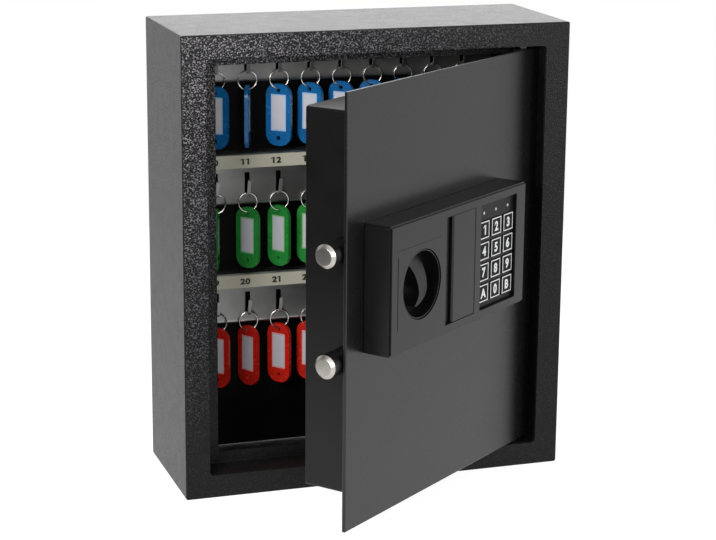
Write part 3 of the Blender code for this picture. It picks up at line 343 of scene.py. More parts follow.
def pan_coat():
    """Dull black powder coat of the door's folded pan."""
    look = Look("pan_coat", grey(0.003), 0.34, specular=0.28)
    look.colour(look.ramp(look.noise(20), [(0.35, grey(0.002)), (0.7, grey(0.003))]))
    look.roughness(look.spread(look.noise(60), 0.32, 0.4))
    look.bump(look.noise(1100), distance=0.00003)
    return look.material


def satin_coat():
    """Smooth black powder coat with faint orange peel."""
    look = Look("satin_coat", grey(0.005), 0.27, specular=0.44)
    look.colour(look.ramp(look.noise(14), [(0.35, grey(0.0045)), (0.7, (0.006, 0.006, 0.0065))]))
    look.roughness(look.spread(look.noise(60), 0.24, 0.3))
    look.bump(look.noise(1300), distance=0.00002)
    return look.material


def moulded_plastic(name, colour, rough, grain=0.00002, specular=0.5):
    """Moulded plastic with a fine spark-eroded grain."""
    look = Look(name, colour, rough, specular=specular)
    look.colour(look.ramp(look.noise(40, detail=3.0), shades(colour, 0.88, 1.1)))
    look.roughness(look.spread(look.noise(700), rough - 0.05, rough + 0.06))
    look.bump(look.noise(2600, detail=1.0), distance=grain)
    return look.material


def zinc_sheet():
    """Plated sheet with faint rolling lines and a cloudy bloom."""
    look = Look("zinc_sheet", grey(0.42), 0.34, metallic=1.0)
    lines = look.noise(60, detail=3.0, place=look.stretched((0.15, 1.0, 14.0)))
    bloom = [(0.3, (0.35, 0.355, 0.35)), (0.7, (0.48, 0.485, 0.47))]
    look.colour(look.ramp(look.noise(38, detail=4.0), bloom))
    look.roughness(look.spread(lines, 0.28, 0.42))
    look.bump(lines, distance=0.00003)
    return look.material


def bright_metal(name, colour, rough):
    """Turned or drawn metal with hairline marks."""
    look = Look(name, colour, rough, metallic=1.0)
    marks = look.noise(240, detail=4.0, roughness=0.6)
    look.colour(look.ramp(look.noise(120, detail=3.0), shades(colour, 0.85, 1.0)))
    look.roughness(look.spread(marks, rough - 0.06, rough + 0.08))
    look.bump(marks, distance=0.00001)
    return look.material


def tag_plastic(name, colour):
    """Glossy, faintly translucent plastic of the key tags."""
    look = Look(name, colour, 0.26)
    look.set("Subsurface Weight", 0.15)
    look.set("Subsurface Radius", (0.004, 0.004, 0.004))
    look.set("Subsurface Scale", 0.3)
    look.colour(look.ramp(look.noise(70), shades(colour, 0.85, 1.1)))
    look.roughness(look.spread(look.noise(300), 0.2, 0.32))
    look.bump(look.noise(500), distance=0.000012)
    return look.material


def printed(name, colour, rough=0.6):
    """Matt paper, film or ink with slight mottling."""
    look = Look(name, colour, rough)
    look.colour(look.ramp(look.noise(90, detail=4.0), shades(colour, 0.93, 1.0)))
    look.roughness(look.spread(look.noise(400), rough - 0.06, rough + 0.06))
    look.bump(look.noise(1800), distance=0.000008)
    return look.material


def make_looks():
    return {
        # both hammered coats carry painted light in their flecks, and the shell's also painted shade past its
        # front edges
        "coat": hammer_coat("shell_coat", SHELL_PAINTED_SHADE_FADES),
        "frame_coat": hammer_coat("frame_coat"),
        # near-black steel: a painted reflection on the bolt shanks, and painted shade that hides the hinge pins'
        # glint
        "steel_painted_dark": bright_metal("steel_painted_dark", (0.05, 0.05, 0.05), 0.4),
        "tip": bright_metal("ground_steel", (0.5, 0.48, 0.44), 0.3),
        "pan": pan_coat(),
        # painted shade for the back panel
        "inner": shade_black_coat(),
        "satin": satin_coat(),
        "housing": moulded_plastic("housing_plastic", (0.003, 0.003, 0.0035), 0.3, specular=0.36),
        "black": moulded_plastic("black_plastic", (0.008, 0.008, 0.009), 0.4, specular=0.16),
        "keys": moulded_plastic("key_rubber", (0.007, 0.007, 0.008), 0.55, grain=0.00003, specular=0.1),
        "zinc": zinc_sheet(),
        "nickel": bright_metal("nickel_plate", (0.68, 0.65, 0.6), 0.24),
        "brass": bright_metal("brass", (0.62, 0.47, 0.22), 0.28),
        "board": moulded_plastic("circuit_board", (0.02, 0.12, 0.05), 0.45),
        "strip": printed("number_strip_card", (0.64, 0.62, 0.49)),
        "tag_blue": tag_plastic("tag_blue", (0.008, 0.14, 0.38)),
        "tag_green": tag_plastic("tag_green", (0.025, 0.29, 0.05)),
        "tag_red": tag_plastic("tag_red", (0.62, 0.02, 0.01)),
        "tag_blue_border": printed("blue_border", (0.42, 0.6, 0.85), 0.4),
        "tag_green_border": printed("green_border", (0.32, 0.58, 0.3), 0.4),
        "tag_red_border": printed("red_border", (0.85, 0.42, 0.42), 0.4),
        "label": printed("label_paper", (0.66, 0.66, 0.72), 0.4),
        "white_ink": printed("white_ink", (0.86, 0.86, 0.86), 0.5),
        "black_ink": printed("black_ink", (0.02, 0.02, 0.018), 0.5),
        "lamp": printed("lamp_lens", (0.5, 0.5, 0.5), 0.25),
    }


# Meshes


def mesh_object(name, bm):
    """A new object of the scene from a bmesh, which is freed."""
    mesh = bpy.data.meshes.new(name)
    bm.to_mesh(mesh)
    bm.free()
    made = bpy.data.objects.new(name, mesh)
    bpy.context.scene.collection.objects.link(made)
    return made


def add_piece(name, bm, looks, body, matrix=None):
    """A piece from a bmesh in the frame of matrix, put in the world and riding on a CAD body."""
    bmesh.ops.recalc_face_normals(bm, faces=bm.faces)
    if matrix is not None:
        bmesh.ops.transform(bm, matrix=matrix, verts=bm.verts)
    piece = mesh_object(name, bm)
    for look in looks:
        piece.data.materials.append(look)
    piece.data.shade_smooth()
    piece.data.set_sharp_from_angle(angle=SHARP_ANGLE)
    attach(piece, body)
    return piece


def keep_flat(piece):
    """Keeps the flat faces of a piece flat, up to its rounded edges."""
    smooth = piece.modifiers.new("smooth", "WEIGHTED_NORMAL")
    smooth.keep_sharp = True


def outline_copy(node):
    """The CAD node's mesh with its flat faces joined up."""
    bm = bmesh.new()
    bm.from_mesh(frame["nodes"][node].data)
    bmesh.ops.remove_doubles(bm, verts=bm.verts, dist=WELD)
    bmesh.ops.dissolve_limit(bm, angle_limit=FLAT_ANGLE, verts=bm.verts, edges=bm.edges)
    return bm


def refine(node, look, width):
    """A copy of a CAD node with rounded edges, which stands for the node."""
    piece = add_piece(f"{node}_fine", outline_copy(node), [look], body_of(node))
    piece.data.shade_smooth()  # clears the sharp edges, because the bevel rounds them
    bevel = piece.modifiers.new("rounded", "BEVEL")
    bevel.limit_method = "ANGLE"
    bevel.angle_limit = EDGE_ANGLE
    bevel.width = width
    bevel.segments = EDGE_SEGMENTS
    keep_flat(piece)
    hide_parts(node)


def prism(bm, outline, axis, start, end):
    """Adds a closed prism along an axis to bm. Its outline is in the two other coordinates, in order."""
    order = {"x": (2, 0, 1), "y": (0, 2, 1), "z": (0, 1, 2)}[axis]

    def corner(point, along):
        values = (*point, along)
        return [values[i] for i in order]

    rings = [[bm.verts.new(corner(p, along)) for p in outline] for along in (start, end)]
    bm.faces.new(rings[0])
    bm.faces.new(list(reversed(rings[1])))
    for i in range(len(outline)):
        j = (i + 1) % len(outline)
        bm.faces.new((rings[0][i], rings[1][i], rings[1][j], rings[0][j]))
    return bm


def rectangle(x0, x1, z0, z1):
    return [(x0, z0), (x1, z0), (x1, z1), (x0, z1)]


def rounded(x0, x1, z0, z1, radius, steps):
    """A rectangle with round corners."""
    points = []
    corners = (
        (x1 - radius, z0 + radius, -90),
        (x1 - radius, z1 - radius, 0),
        (x0 + radius, z1 - radius, 90),
        (x0 + radius, z0 + radius, 180),
    )
    for cx, cz, first in corners:
        for i in range(steps + 1):
            angle = math.radians(first + 90 * i / steps)
            points.append((cx + radius * math.cos(angle), cz + radius * math.sin(angle)))
    return points


def circle(cx, cz, radius, sides):
    turns = [2 * math.pi * i / sides for i in range(sides)]
    return [(cx + radius * math.cos(a), cz + radius * math.sin(a)) for a in turns]


def arc_through(start, middle, end, steps):
    """Points of the arc through three points, ends included."""
    (ax, az), (bx, bz), (cx, cz) = start, middle, end
    d = 2 * (ax * (bz - cz) + bx * (cz - az) + cx * (az - bz))
    a2, b2, c2 = ax * ax + az * az, bx * bx + bz * bz, cx * cx + cz * cz
    ux = (a2 * (bz - cz) + b2 * (cz - az) + c2 * (az - bz)) / d
    uz = (a2 * (cx - bx) + b2 * (ax - cx) + c2 * (bx - ax)) / d
    radius = math.hypot(ax - ux, az - uz)
    first, mid, last = (math.atan2(z - uz, x - ux) for x, z in (start, middle, end))
    full = 2 * math.pi
    sweep = (last - first) % full
    if (mid - first) % full > sweep:
        sweep -= full
    turns = [first + sweep * i / steps for i in range(steps + 1)]
    return [(ux + radius * math.cos(t), uz + radius * math.sin(t)) for t in turns]


def turned(profile, sides, axis="z", centre=(0, 0, 0)):
    """A solid of revolution from (radius, along) points. A radius of zero closes an end."""
    bm = bmesh.new()
    rings = []
    for radius, along in profile:
        points = circle(0, 0, radius, sides if radius > 0 else 1)
        rings.append([bm.verts.new((x, y, along)) for x, y in points])
    for first, second in zip(rings, rings[1:]):
        for i in range(sides):
            j = (i + 1) % sides
            spots = ((first, i), (second, i), (second, j), (first, j))
            corners = dict.fromkeys(ring[k % len(ring)] for ring, k in spots)
            bm.faces.new(list(corners))  # a triangle beside a ring of one point
    turn = {
        "x": Matrix.Rotation(math.radians(90), 4, "Y"),
        "y": Matrix.Rotation(math.radians(-90), 4, "X"),
        "z": Matrix.Identity(4),
    }[axis]
    bmesh.ops.transform(bm, matrix=Matrix.Translation(centre) @ turn, verts=bm.verts)
    return bm


def round_over(bm, edges, radius):
    """Rounds some edges of a bmesh."""
    bmesh.ops.bevel(
        bm, geom=edges, offset=radius, segments=ROUND_SEGMENTS, affect="EDGES", profile=ROUND_PROFILE
    )


def boolean_bmesh(bm, operation, other):
    """The result of an exact Boolean between two bmeshes, as a bmesh. Both are freed."""
    for solid in (bm, other):
        bmesh.ops.recalc_face_normals(solid, faces=solid.faces)
    first, second = mesh_object("first", bm), mesh_object("second", other)
    modifier = first.modifiers.new("boolean", "BOOLEAN")
    modifier.operation = operation
    modifier.solver = "EXACT"
    modifier.object = second
    graph = bpy.context.evaluated_depsgraph_get()
    mesh = bpy.data.meshes.new_from_object(first.evaluated_get(graph))
    result = bmesh.new()
    result.from_mesh(mesh)
    for obj in (first, second):
        bpy.data.objects.remove(obj, do_unlink=True)
    return result


def islands(bm):
    """Groups of vertices that hang together, in the mesh's own order."""
    bm.verts.index_update()
    seen, groups = set(), []
    for first in list(bm.verts):
        ahead, group = [first], []
        while ahead:
            vert = ahead.pop()
            if vert.index not in seen:
                seen.add(vert.index)
                group.append(vert)
                ahead += [edge.other_vert(vert) for edge in vert.link_edges]
        if group:
            groups.append(group)
    return groups


def flag_ones(bm):
    """Gives the bare upright of each digit 1 its flag. The lettering lies in x and y."""
    for group in islands(bm):
        left, right = min(v.co.x for v in group), max(v.co.x for v in group)
        foot, top = min(v.co.y for v in group), max(v.co.y for v in group)
        if right - left < ONE_NARROW_SHARE * (top - foot):
            reach, drop, stroke = (share * (top - foot) for share in ONE_FLAG_SHARES)
            tip = left - reach
            outline = [(left, top), (tip, top - drop), (tip, top - drop - stroke), (left, top - stroke)]
            prism(bm, outline, "z", -INK_THICK / 2, INK_THICK / 2)


def text_bmesh(words, height, bold, spacing=1.0):
    """Built-in lettering, centred on the origin, standing in x and z and facing -Y."""
    curve = bpy.data.curves.new("lettering", "FONT")
    curve.body = words
    curve.size = height
    curve.offset = bold
    curve.space_character = spacing
    curve.align_x = "CENTER"
    curve.resolution_u = LETTER_STEPS
    curve.extrude = INK_THICK / 2
    writing = bpy.data.objects.new("lettering", curve)
    bpy.context.scene.collection.objects.link(writing)
    graph = bpy.context.evaluated_depsgraph_get()
    mesh = bpy.data.meshes.new_from_object(writing.evaluated_get(graph))
    bpy.data.objects.remove(writing, do_unlink=True)
    bm = bmesh.new()
    bm.from_mesh(mesh)
    bmesh.ops.remove_doubles(bm, verts=bm.verts, dist=WELD)
    flag_ones(bm)
    low = [min(v.co[i] for v in bm.verts) for i in (0, 1)]
    high = [max(v.co[i] for v in bm.verts) for i in (0, 1)]
    middle = Vector(((low[0] + high[0]) / 2, (low[1] + high[1]) / 2, 0))
    bmesh.ops.translate(bm, verts=bm.verts, vec=-middle)
    bmesh.ops.transform(bm, matrix=Matrix.Rotation(math.radians(90), 4, "X"), verts=bm.verts)
    return bm


def merge_into(target, bm, matrix):
    """Adds a bmesh, moved by matrix, to another. The added one is freed."""
    bmesh.ops.transform(bm, matrix=matrix, verts=bm.verts)
    mesh = bpy.data.meshes.new("merged")
    bm.to_mesh(mesh)
    bm.free()
    target.from_mesh(mesh)
    bpy.data.meshes.remove(mesh)


# The cabinet's pieces


def refine_plain_pieces(looks):
    """Every CAD node whose form is right gets rounded edges and its finish."""
    groups = (  # look, slot, width of the rounded edges, nodes
        ("coat", "coat", 0.0009, ("cabinet_shell",)),
        ("frame_coat", "coat", 0.0004, ("door_frame",)),
        # the back panel's coat is painted shade, darker than the hammered coat it has
        ("inner", "coat", 0.0003, ("back_panel",)),
        ("pan", "coat", 0.0006, ("door_pan", "hinge_lug_top", "hinge_lug_foot")),
        ("satin", "satin", 0.0004, ("door_plate",)),
        ("housing", "housing", 0.0003, ("lock_fascia", "lock_cover")),
        ("black", "black", 0.00025, ("keypad_plate", "battery_box", "battery_cover")),
        ("board", "board", 0.0002, ("keypad_board",)),
        ("zinc", "zinc", 0.0003, ("solenoid", "bolt_guide", "bolt_carriage", "drive_cam")),
        ("zinc", "zinc", 0.0002, tuple(f"hook_rail_{row}" for row in RAIL_NAMES)),
        ("strip", "strip", 0.0001, tuple(f"number_strip_{row}" for row in RAIL_NAMES)),
        ("nickel", "nickel", 0.0002, ("solenoid_plunger",)),
        ("zinc", "zinc", 0.0003, ("emergency_lock_barrel",)),
        ("brass", "brass", 0.00015, ("emergency_lock_plug",)),
    )
    for look, slot, width, nodes in groups:
        for node in nodes:
            refine(node, looks[look], width)


def build_bolts(looks):
    """Turned bolts: a bright ground tip with a crisp chamfer, on a shank painted near-black as a painted
    reflection of the dark pan.
    """
    for node in ("bolt_upper", "bolt_lower"):
        low, high = box_in(node, to_door)
        radius = (high.z - low.z) / 2
        centre = (low.x, (low.y + high.y) / 2, (low.z + high.z) / 2)
        length = high.x - low.x
        flat = radius - BOLT_CHAMFER
        profile = [
            (0, 0),
            (flat - BOLT_EASE, 0),
            (flat, BOLT_EASE_ALONG),
            (radius - BOLT_EASE_ACROSS, BOLT_CHAMFER - BOLT_EASE_ALONG),
            (radius, BOLT_CHAMFER + BOLT_EASE),
            (radius, length),
            (0, length),
        ]
        bm = turned(profile, ROUND_SIDES, "x", centre)
        for face in bm.faces:
            face.material_index = int(face.calc_center_median().x > low.x + BOLT_CHAMFER)
        # painted reflection: the shank is painted near-black for the dark pan it mirrors
        finishes = [looks["tip"], looks["steel_painted_dark"]]
        piece = add_piece(f"{node}_fine", bm, finishes, "bolts", from_door)
        keep_flat(piece)
        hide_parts(node)


def build_hinge_pins(looks):
    """Turned pins with their shoulder, at the CAD pins' own sizes."""
    for node in ("hinge_pin_top", "hinge_pin_foot"):
        low, high = box_in(node, to_door)
        places = [to_door @ v.co for v in frame["nodes"][node].data.vertices]
        steps = {(round(p.z, HEIGHT_DIGITS), round(math.hypot(*p.xy), RADIUS_DIGITS)) for p in places}
        rings = sorted(steps)
        profile = [(0, low.z)] + [(radius, z) for z, radius in rings if radius > WELD] + [(0, high.z)]
        bm = turned(lathe_order(profile), SMALL_SIDES)
        # painted shade: the pins are painted near-black, which hides their glint
        piece = add_piece(f"{node}_fine", bm, [looks["steel_painted_dark"]], "door", from_door)
        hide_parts(node)


def lathe_order(profile):
    """A profile's points in the order that a lathe follows: at each step the radius changes once."""
    ordered = [profile[0]]
    for point in profile[1:]:
        last = ordered[-1]
        if abs(point[1] - last[1]) < WELD and len(ordered) > 1 and abs(ordered[-2][0] - point[0]) < WELD:
            ordered[-1], point = point, last
        ordered.append(point)
    return ordered


def build_knob(looks):
    """Round cup with a bowed grip ridge across it, its rim and ridge softly rounded."""
    low, high = box_in("knob", to_door)
    radius = (high.z - low.z) / 2
    length = high.y - low.y
    centre = Vector(((low.x + high.x) / 2, low.y, (low.z + high.z) / 2))
    cup = radius - KNOB_RIM
    soft = KNOB_RIM_ROUND
    floor = length - KNOB_FLOOR
    profile = [
        (0, length),
        (radius, length),
        (radius, soft),
        (radius - soft * ROUND_MIDDLE, soft * ROUND_MIDDLE),
        (radius - soft, 0),
        (cup + KNOB_RIM_CHAMFER, 0),
        (cup, KNOB_RIM_CHAMFER),
        (cup, floor - soft),
        (cup - soft * ROUND_MIDDLE, floor - soft * ROUND_MIDDLE),
        (cup - soft, floor),
        (0, floor),
    ]
    body = turned(profile, ROUND_SIDES, "y", centre)
    reach = cup + KNOB_RIM / 2
    near_first, far_first = (
        (reach * math.cos(turn), reach * math.sin(turn))
        for turn in (KNOB_RIDGE_NEAR_FROM, KNOB_RIDGE_FAR_FROM)
    )
    bow = arc_through(far_first, KNOB_RIDGE_FAR, KNOB_RIDGE_TIP, KNOB_RIDGE_STEPS)
    back = arc_through(near_first, KNOB_RIDGE_NEAR, KNOB_RIDGE_TIP, KNOB_RIDGE_STEPS)
    bow += list(reversed(back))[1:]
    outline = [(centre.x + x, centre.z + z) for x, z in bow]
    front = centre.y + KNOB_RIDGE_SUNK
    ridge = prism(bmesh.new(), outline, "y", front, centre.y + length - KNOB_FLOOR / 2)
    edges = [e for e in ridge.edges if all(v.co.y < front + WELD for v in e.verts)]
    round_over(ridge, edges, KNOB_RIDGE_ROUND)
    for vert in ridge.verts:
        if vert.co.y < front + KNOB_RIDGE_ROUND * 2:
            height = (vert.co.z - centre.z) / radius
            vert.co.y += KNOB_RIDGE_DIP * max(0, height - KNOB_RIDGE_DIP_FROM)
    bm = boolean_bmesh(body, "UNION", ridge)
    piece = add_piece("knob_fine", bm, [looks["housing"]], "knob_and_cam", from_door)
    keep_flat(piece)
    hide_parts("knob")


def build_keys(looks):
    """Soft-edged keys with a white legend and frame printed on each."""
    for name in "123456789a0b":
        node = f"key_{name}"
        body = body_of(node)
        refine(node, looks["keys"], KEY_ROUND)
        low, high = box_in(node, to_door)
        x0, x1, z0, z1 = low.x, high.x, low.z, high.z
        face = low.y
        ink = bmesh.new()
        outer = rectangle(x0 + LEGEND_INSET, x1 - LEGEND_INSET, z0 + LEGEND_INSET, z1 - LEGEND_INSET)
        inset = LEGEND_INSET + LEGEND_LINE
        inner = rectangle(x0 + inset, x1 - inset, z0 + inset, z1 - inset)
        add_frame(ink, outer, inner, face - INK_THICK, face + INK_THICK)
        middle = Vector(((x0 + x1) / 2, face - INK_THICK / 2, (z0 + z1) / 2))
        letter = text_bmesh(name.upper(), LEGEND_HEIGHT, LEGEND_BOLD)
        merge_into(ink, letter, Matrix.Translation(middle))
        add_piece(f"legend_{name}", ink, [looks["white_ink"]], body, from_door)


def add_frame(bm, outer, inner, front, back):
    """A flat picture frame between two outlines of as many points, standing in x and z."""
    rings = []
    for outline, y in ((outer, front), (inner, front), (inner, back), (outer, back)):
        rings.append([bm.verts.new((x, y, z)) for x, z in outline])
    for ring, following in zip(rings, rings[1:] + rings[:1]):
        for i in range(len(outer)):
            j = (i + 1) % len(outer)
            bm.faces.new((ring[i], ring[j], following[j], following[i]))


def build_lamps(looks):
    """Three small lamp lenses above the top row of keys."""
    front = box_in("keypad_plate", to_door)[0].y
    turns = [math.radians(90) * i / LAMP_STEPS for i in range(LAMP_STEPS + 1)]
    profile = [(LAMP_RADIUS * math.sin(t), -LAMP_DOME * math.cos(t)) for t in turns]
    profile += [(LAMP_RADIUS, LAMP_SUNK), (0, LAMP_SUNK)]
    for name in "123":
        low, high = box_in(f"key_{name}", to_door)
        centre = ((low.x + high.x) / 2, front, high.z + LAMP_ABOVE_KEYS)
        bm = turned(profile, SMALL_SIDES, "y", centre)
        add_piece(f"lamp_{name}", bm, [looks["lamp"]], "door", from_door)


def hook_places():
    """World x of the nine hooks of a rail, spread evenly as the tags on the top rail are."""
    low_first, high_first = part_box("key_tag_01")
    low_last, high_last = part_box("key_tag_09")
    first = (low_first.x + high_first.x) / 2
    last = (low_last.x + high_last.x) / 2
    pitch = (last - first) / (HOOKS_PER_RAIL - 1)
    return [first + pitch * i for i in range(HOOKS_PER_RAIL)]


def build_numbers(looks):
    """Hook numbers 1 to 27 on the three strips."""
    for row, rail in enumerate(RAIL_NAMES):
        low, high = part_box(f"number_strip_{rail}")
        ink = bmesh.new()
        for column, x in enumerate(hook_places()):
            number = str(row * HOOKS_PER_RAIL + column + 1)
            place = Matrix.Translation((x + NUMBER_SHIFT, low.y - INK_THICK / 2, (low.z + high.z) / 2))
            place @= Matrix.Diagonal((NUMBER_STRETCH, 1, 1, 1))
            merge_into(ink, text_bmesh(number, NUMBER_HEIGHT, NUMBER_BOLD, NUMBER_SPACING), place)
        add_piece(f"numbers_{rail}", ink, [looks["black_ink"]], "cabinet")


def ring_bmesh():
    """Split ring: a wire wound twice, standing in x and z with its top at the origin."""
    bm = bmesh.new()
    steps = RING_TURNS * RING_STEPS_PER_TURN
    loops = []
    for i in range(steps + 1):
        turn = 2 * math.pi * RING_TURNS * i / steps
        lift = RING_PITCH * (i / steps - 0.5)
        radial = Vector((math.sin(turn), 0, math.cos(turn)))
        centre = radial * RING_RADIUS + Vector((0, lift, -RING_RADIUS))
        loop = []
        for k in range(RING_SIDES):
            angle = 2 * math.pi * k / RING_SIDES
            offset = radial * math.cos(angle) + Vector((0, math.sin(angle), 0))
            loop.append(bm.verts.new(centre + offset * RING_WIRE))
        loops.append(loop)
    for first, second in zip(loops, loops[1:]):
        for k in range(RING_SIDES):
            j = (k + 1) % RING_SIDES
            bm.faces.new((first[k], first[j], second[j], second[k]))
    bm.faces.new(loops[0])
    bm.faces.new(list(reversed(loops[-1])))
    return bm


def tag_bmesh():
    """Tag with eye, foot hole and label windows, standing in x and z with its top at the origin."""
    half = TAG_WIDTH / 2
    outline = rounded(-half, half, -TAG_LENGTH, 0, TAG_CORNER, TAG_CORNER_STEPS)
    body = prism(bmesh.new(), outline, "y", -TAG_THICK / 2, TAG_THICK / 2)
    rim = [e for e in body.edges if abs(e.verts[0].co.y - e.verts[1].co.y) < WELD]
    round_over(body, rim, TAG_ROUND)
    holes = bmesh.new()
    back = TAG_THICK / 2 + OVERRUN
    prism(holes, circle(0, -TAG_EYE_FROM_TOP, TAG_EYE_RADIUS, TAG_EYE_SIDES), "y", -back, back)
    foot = TAG_FOOT_HOLE_FROM_END - TAG_LENGTH
    prism(holes, circle(0, foot, TAG_FOOT_HOLE_RADIUS, TAG_FOOT_HOLE_SIDES), "y", -back, back)
    side = half - LABEL_FROM_SIDE
    sill = LABEL_FROM_FOOT - TAG_LENGTH
    window = rounded(-side, side, sill, -LABEL_FROM_TOP, LABEL_CORNER, LABEL_CORNER_STEPS)
    prism(holes, window, "y", -back, LABEL_SUNK - TAG_THICK / 2)
    prism(holes, window, "y", TAG_THICK / 2 - LABEL_SUNK, back)
    return boolean_bmesh(body, "DIFFERENCE", holes)


def label_bmesh():
    """Labels in a tag's two windows: a tinted border sheet with the paper on it."""
    bm = bmesh.new()
    floor = TAG_THICK / 2 - LABEL_SUNK
    border = (LABEL_MARGIN, LABEL_BORDER_THICK, 1)
    paper = (LABEL_MARGIN + LABEL_BORDER, LABEL_PAPER_THICK, 0)
    for inset, thick, look in (border, paper):
        done = len(bm.faces)
        side = TAG_WIDTH / 2 - LABEL_FROM_SIDE - inset
        foot = LABEL_FROM_FOOT - TAG_LENGTH + inset
        sheet = rectangle(-side, side, foot, -LABEL_FROM_TOP - inset)
        for sign in (-1, 1):
            prism(bm, sheet, "y", sign * (floor - LABEL_BITE), sign * (floor + thick))
        for face in list(bm.faces)[done:]:
            face.material_index = look
    return bm


def tag_turn(node, foot_z):
    """How far a CAD tag is turned about its ring, from the spread of its lower end."""
    points = [v.co.xy for v in frame["nodes"][node].data.vertices if v.co.z < foot_z]
    mean = sum(points, Vector((0, 0))) / len(points)
    xx = sum((p.x - mean.x) ** 2 for p in points)
    yy = sum((p.y - mean.y) ** 2 for p in points)
    xy = sum((p.x - mean.x) * (p.y - mean.y) for p in points)
    return math.atan2(2 * xy, xx - yy) / 2


def add_tag(number, top, turn, colour, looks, parts, node=None):
    """One ring with its tag. top is the highest point of the ring's centre line."""
    body = body_of(node) if node else "cabinet"
    ring_place = Matrix.Translation(top)
    eye = top.z - 2 * RING_RADIUS + RING_WIRE - TAG_BITE - TAG_EYE_RADIUS + TAG_EYE_FROM_TOP
    tag_place = Matrix.Translation((top.x, top.y, eye)) @ Matrix.Rotation(turn, 4, "Z")
    wire = [looks["nickel"]]
    ring = add_piece(f"ring_{number:02d}", parts["ring"].copy(), wire, body, ring_place)
    tag = add_piece(f"tag_{number:02d}", parts["tag"].copy(), [looks[colour]], body, tag_place)
    label_looks = [looks["label"], looks[f"{colour}_border"]]
    add_piece(f"label_{number:02d}", parts["label"].copy(), label_looks, body, tag_place)
    if node:
        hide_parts(node)
        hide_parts(node)


def build_tags(looks):
    """All 27 tags: those with a CAD node swing as it does, and the others hang still."""
    parts = {"ring": ring_bmesh(), "tag": tag_bmesh(), "label": label_bmesh()}
    colours = ("tag_blue", "tag_green", "tag_red")
    reference = find_joint("key_tag_01_swing")["pos_m"]
    for row, rail in enumerate(RAIL_NAMES):
        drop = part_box(f"hook_rail_{rail}")[0].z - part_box("hook_rail_upper")[0].z
        for column, x in enumerate(hook_places()):
            number = row * HOOKS_PER_RAIL + column + 1
            node = f"key_tag_{number:02d}"
            top = Vector((x, reference[1], reference[2] + drop))
            if node in frame["nodes"]:
                turn = tag_turn(node, top.z - 2 * RING_RADIUS - TAG_LENGTH / 2)
                add_tag(number, top, turn, colours[row], looks, parts, node)
            else:
                turn = EXTRA_TAG_TURN + EXTRA_TAG_SWAY * math.sin(EXTRA_TAG_BEAT * number)
                add_tag(number, top, turn, colours[row], looks, parts)
    for bm in parts.values():
        bm.free()


# Studio


def add_camera():
    azimuth, elevation = CAMERA_AZIMUTH, CAMERA_ELEVATION
    back = Vector(
        (
            math.sin(azimuth) * math.cos(elevation),
            -math.cos(azimuth) * math.cos(elevation),
            math.sin(elevation),
        )
    )
    right = (-back).cross(Vector((0, 0, 1))).normalized()
    up = right.cross(-back)
    cos_roll, sin_roll = math.cos(CAMERA_ROLL), math.sin(CAMERA_ROLL)
    x_axis = right * cos_roll + up * sin_roll
    y_axis = up * cos_roll - right * sin_roll
    data = bpy.data.cameras.new("camera")
    data.sensor_fit = "HORIZONTAL"
    data.sensor_width = CAMERA_SENSOR
    data.lens = CAMERA_LENS
    data.clip_start = CAMERA_CLIP
    camera = bpy.data.objects.new("camera", data)
    turn = Matrix((x_axis, y_axis, back)).transposed().to_4x4()
    camera.matrix_world = Matrix.Translation(CAMERA_TARGET + back * CAMERA_DISTANCE) @ turn
    bpy.context.scene.collection.objects.link(camera)
    bpy.context.scene.camera = camera


def add_lamp(name, place, target, width, height, watts):
    data = bpy.data.lights.new(name, "AREA")
    data.shape = "RECTANGLE"
    data.size = width
    data.size_y = height
    data.energy = watts
    lamp = bpy.data.objects.new(name, data)
    lamp.location = place
    lamp.visible_camera = False
    lamp.rotation_euler = (Vector(target) - Vector(place)).to_track_quat("-Z", "Y").to_euler()
    bpy.context.scene.collection.objects.link(lamp)


def seen_level(tree):
    """One for rays of the camera, of reflections and through glass, and zero for the rest."""
    path = tree.nodes.new("ShaderNodeLightPath")
    total = path.outputs["Is Camera Ray"]
    for ray in ("Is Glossy Ray", "Is Transmission Ray"):
        node = tree.nodes.new("ShaderNodeMath")
        node.operation = "MAXIMUM"
        tree.links.new(total, node.inputs[0])
        tree.links.new(path.outputs[ray], node.inputs[1])
        total = node.outputs["Value"]
    return total


def add_world():
    """White to the camera and in reflections, soft grey as a light."""
    world = bpy.data.worlds.new("studio")
    bpy.context.scene.world = world
    world.use_nodes = True
    tree = world.node_tree
    background = tree.nodes["Background"]
    background.inputs["Color"].default_value = (1, 1, 1, 1)
    level = tree.nodes.new("ShaderNodeMapRange")
    level.inputs["To Min"].default_value = WORLD_LIGHT
    level.inputs["To Max"].default_value = WORLD_SEEN
    tree.links.new(seen_level(tree), level.inputs["Value"])
    tree.links.new(level.outputs["Result"], background.inputs["Strength"])


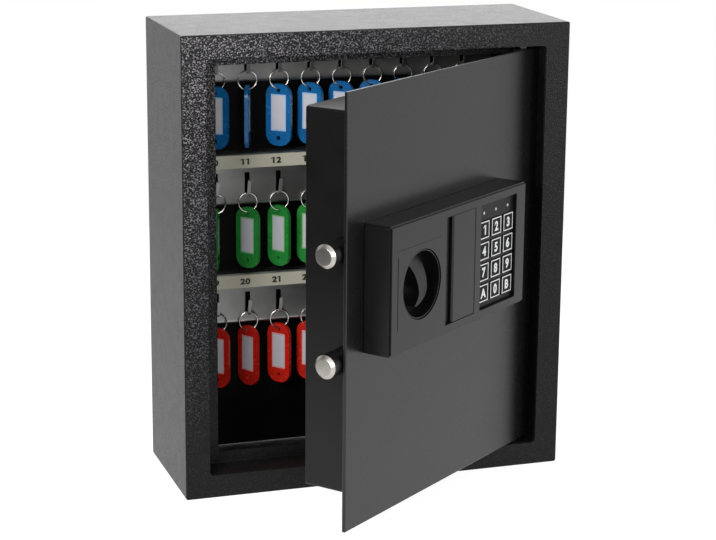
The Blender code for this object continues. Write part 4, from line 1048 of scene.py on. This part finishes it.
def add_floor():
    """Round white floor under the cabinet, which keeps its shadow."""
    centre = (0, FLOOR_MIDDLE_Y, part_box("cabinet_shell")[0].z)
    floor = mesh_object("floor", turned([(0, 0), (FLOOR_RADIUS, 0)], ROUND_SIDES, "z", centre))
    look = Look("floor_white", grey(FLOOR_GREY), STAGE_ROUGHNESS)
    look.set("Emission Color", (1, 1, 1, 1))
    level = look.tree.nodes.new("ShaderNodeMath")
    level.operation = "MULTIPLY"
    level.inputs[1].default_value = FLOOR_SEEN
    look.link(seen_level(look.tree), level.inputs[0])
    look.link(level.outputs["Value"], look.shader.inputs["Emission Strength"])
    floor.data.materials.append(look.material)


def add_card():
    """Black card to the left, which only reflections see: the studio is dark on that side."""
    outline = rectangle(*CARD_Y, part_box("cabinet_shell")[0].z, CARD_TOP)
    bm = bmesh.new()
    bm.faces.new([bm.verts.new((CARD_X, y, z)) for y, z in outline])
    card = mesh_object("flag", bm)
    card.data.materials.append(Look("flag_black", grey(CARD_GREY), STAGE_ROUGHNESS).material)
    card.visible_camera = False
    card.visible_diffuse = False
    card.visible_transmission = False
    card.visible_shadow = False


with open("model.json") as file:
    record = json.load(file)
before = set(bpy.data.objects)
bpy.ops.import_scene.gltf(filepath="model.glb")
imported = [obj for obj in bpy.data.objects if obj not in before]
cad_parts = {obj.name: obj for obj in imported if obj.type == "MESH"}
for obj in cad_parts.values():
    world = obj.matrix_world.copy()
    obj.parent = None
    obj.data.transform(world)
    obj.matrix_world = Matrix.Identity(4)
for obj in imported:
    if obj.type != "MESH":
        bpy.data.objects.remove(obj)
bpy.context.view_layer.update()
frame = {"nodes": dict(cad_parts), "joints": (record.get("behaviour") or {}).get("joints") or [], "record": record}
bpy.context.scene.view_settings.view_transform = "Standard"

# What is on the door is built in the door's own frame: x along it to the hinge, y into it, z up
hinge = find_joint("door_hinge")
from_door = Matrix.Translation(hinge["pos_m"]) @ Matrix.Rotation(
    -math.radians(hinge["range_deg"][0]), 4, "Z"
)
to_door = from_door.inverted()

add_camera()
looks = make_looks()
refine_plain_pieces(looks)
build_bolts(looks)
build_hinge_pins(looks)
build_knob(looks)
build_keys(looks)
build_lamps(looks)
build_numbers(looks)
build_tags(looks)
for lamp in LAMPS:
    add_lamp(*lamp)
add_world()
add_floor()
add_card()
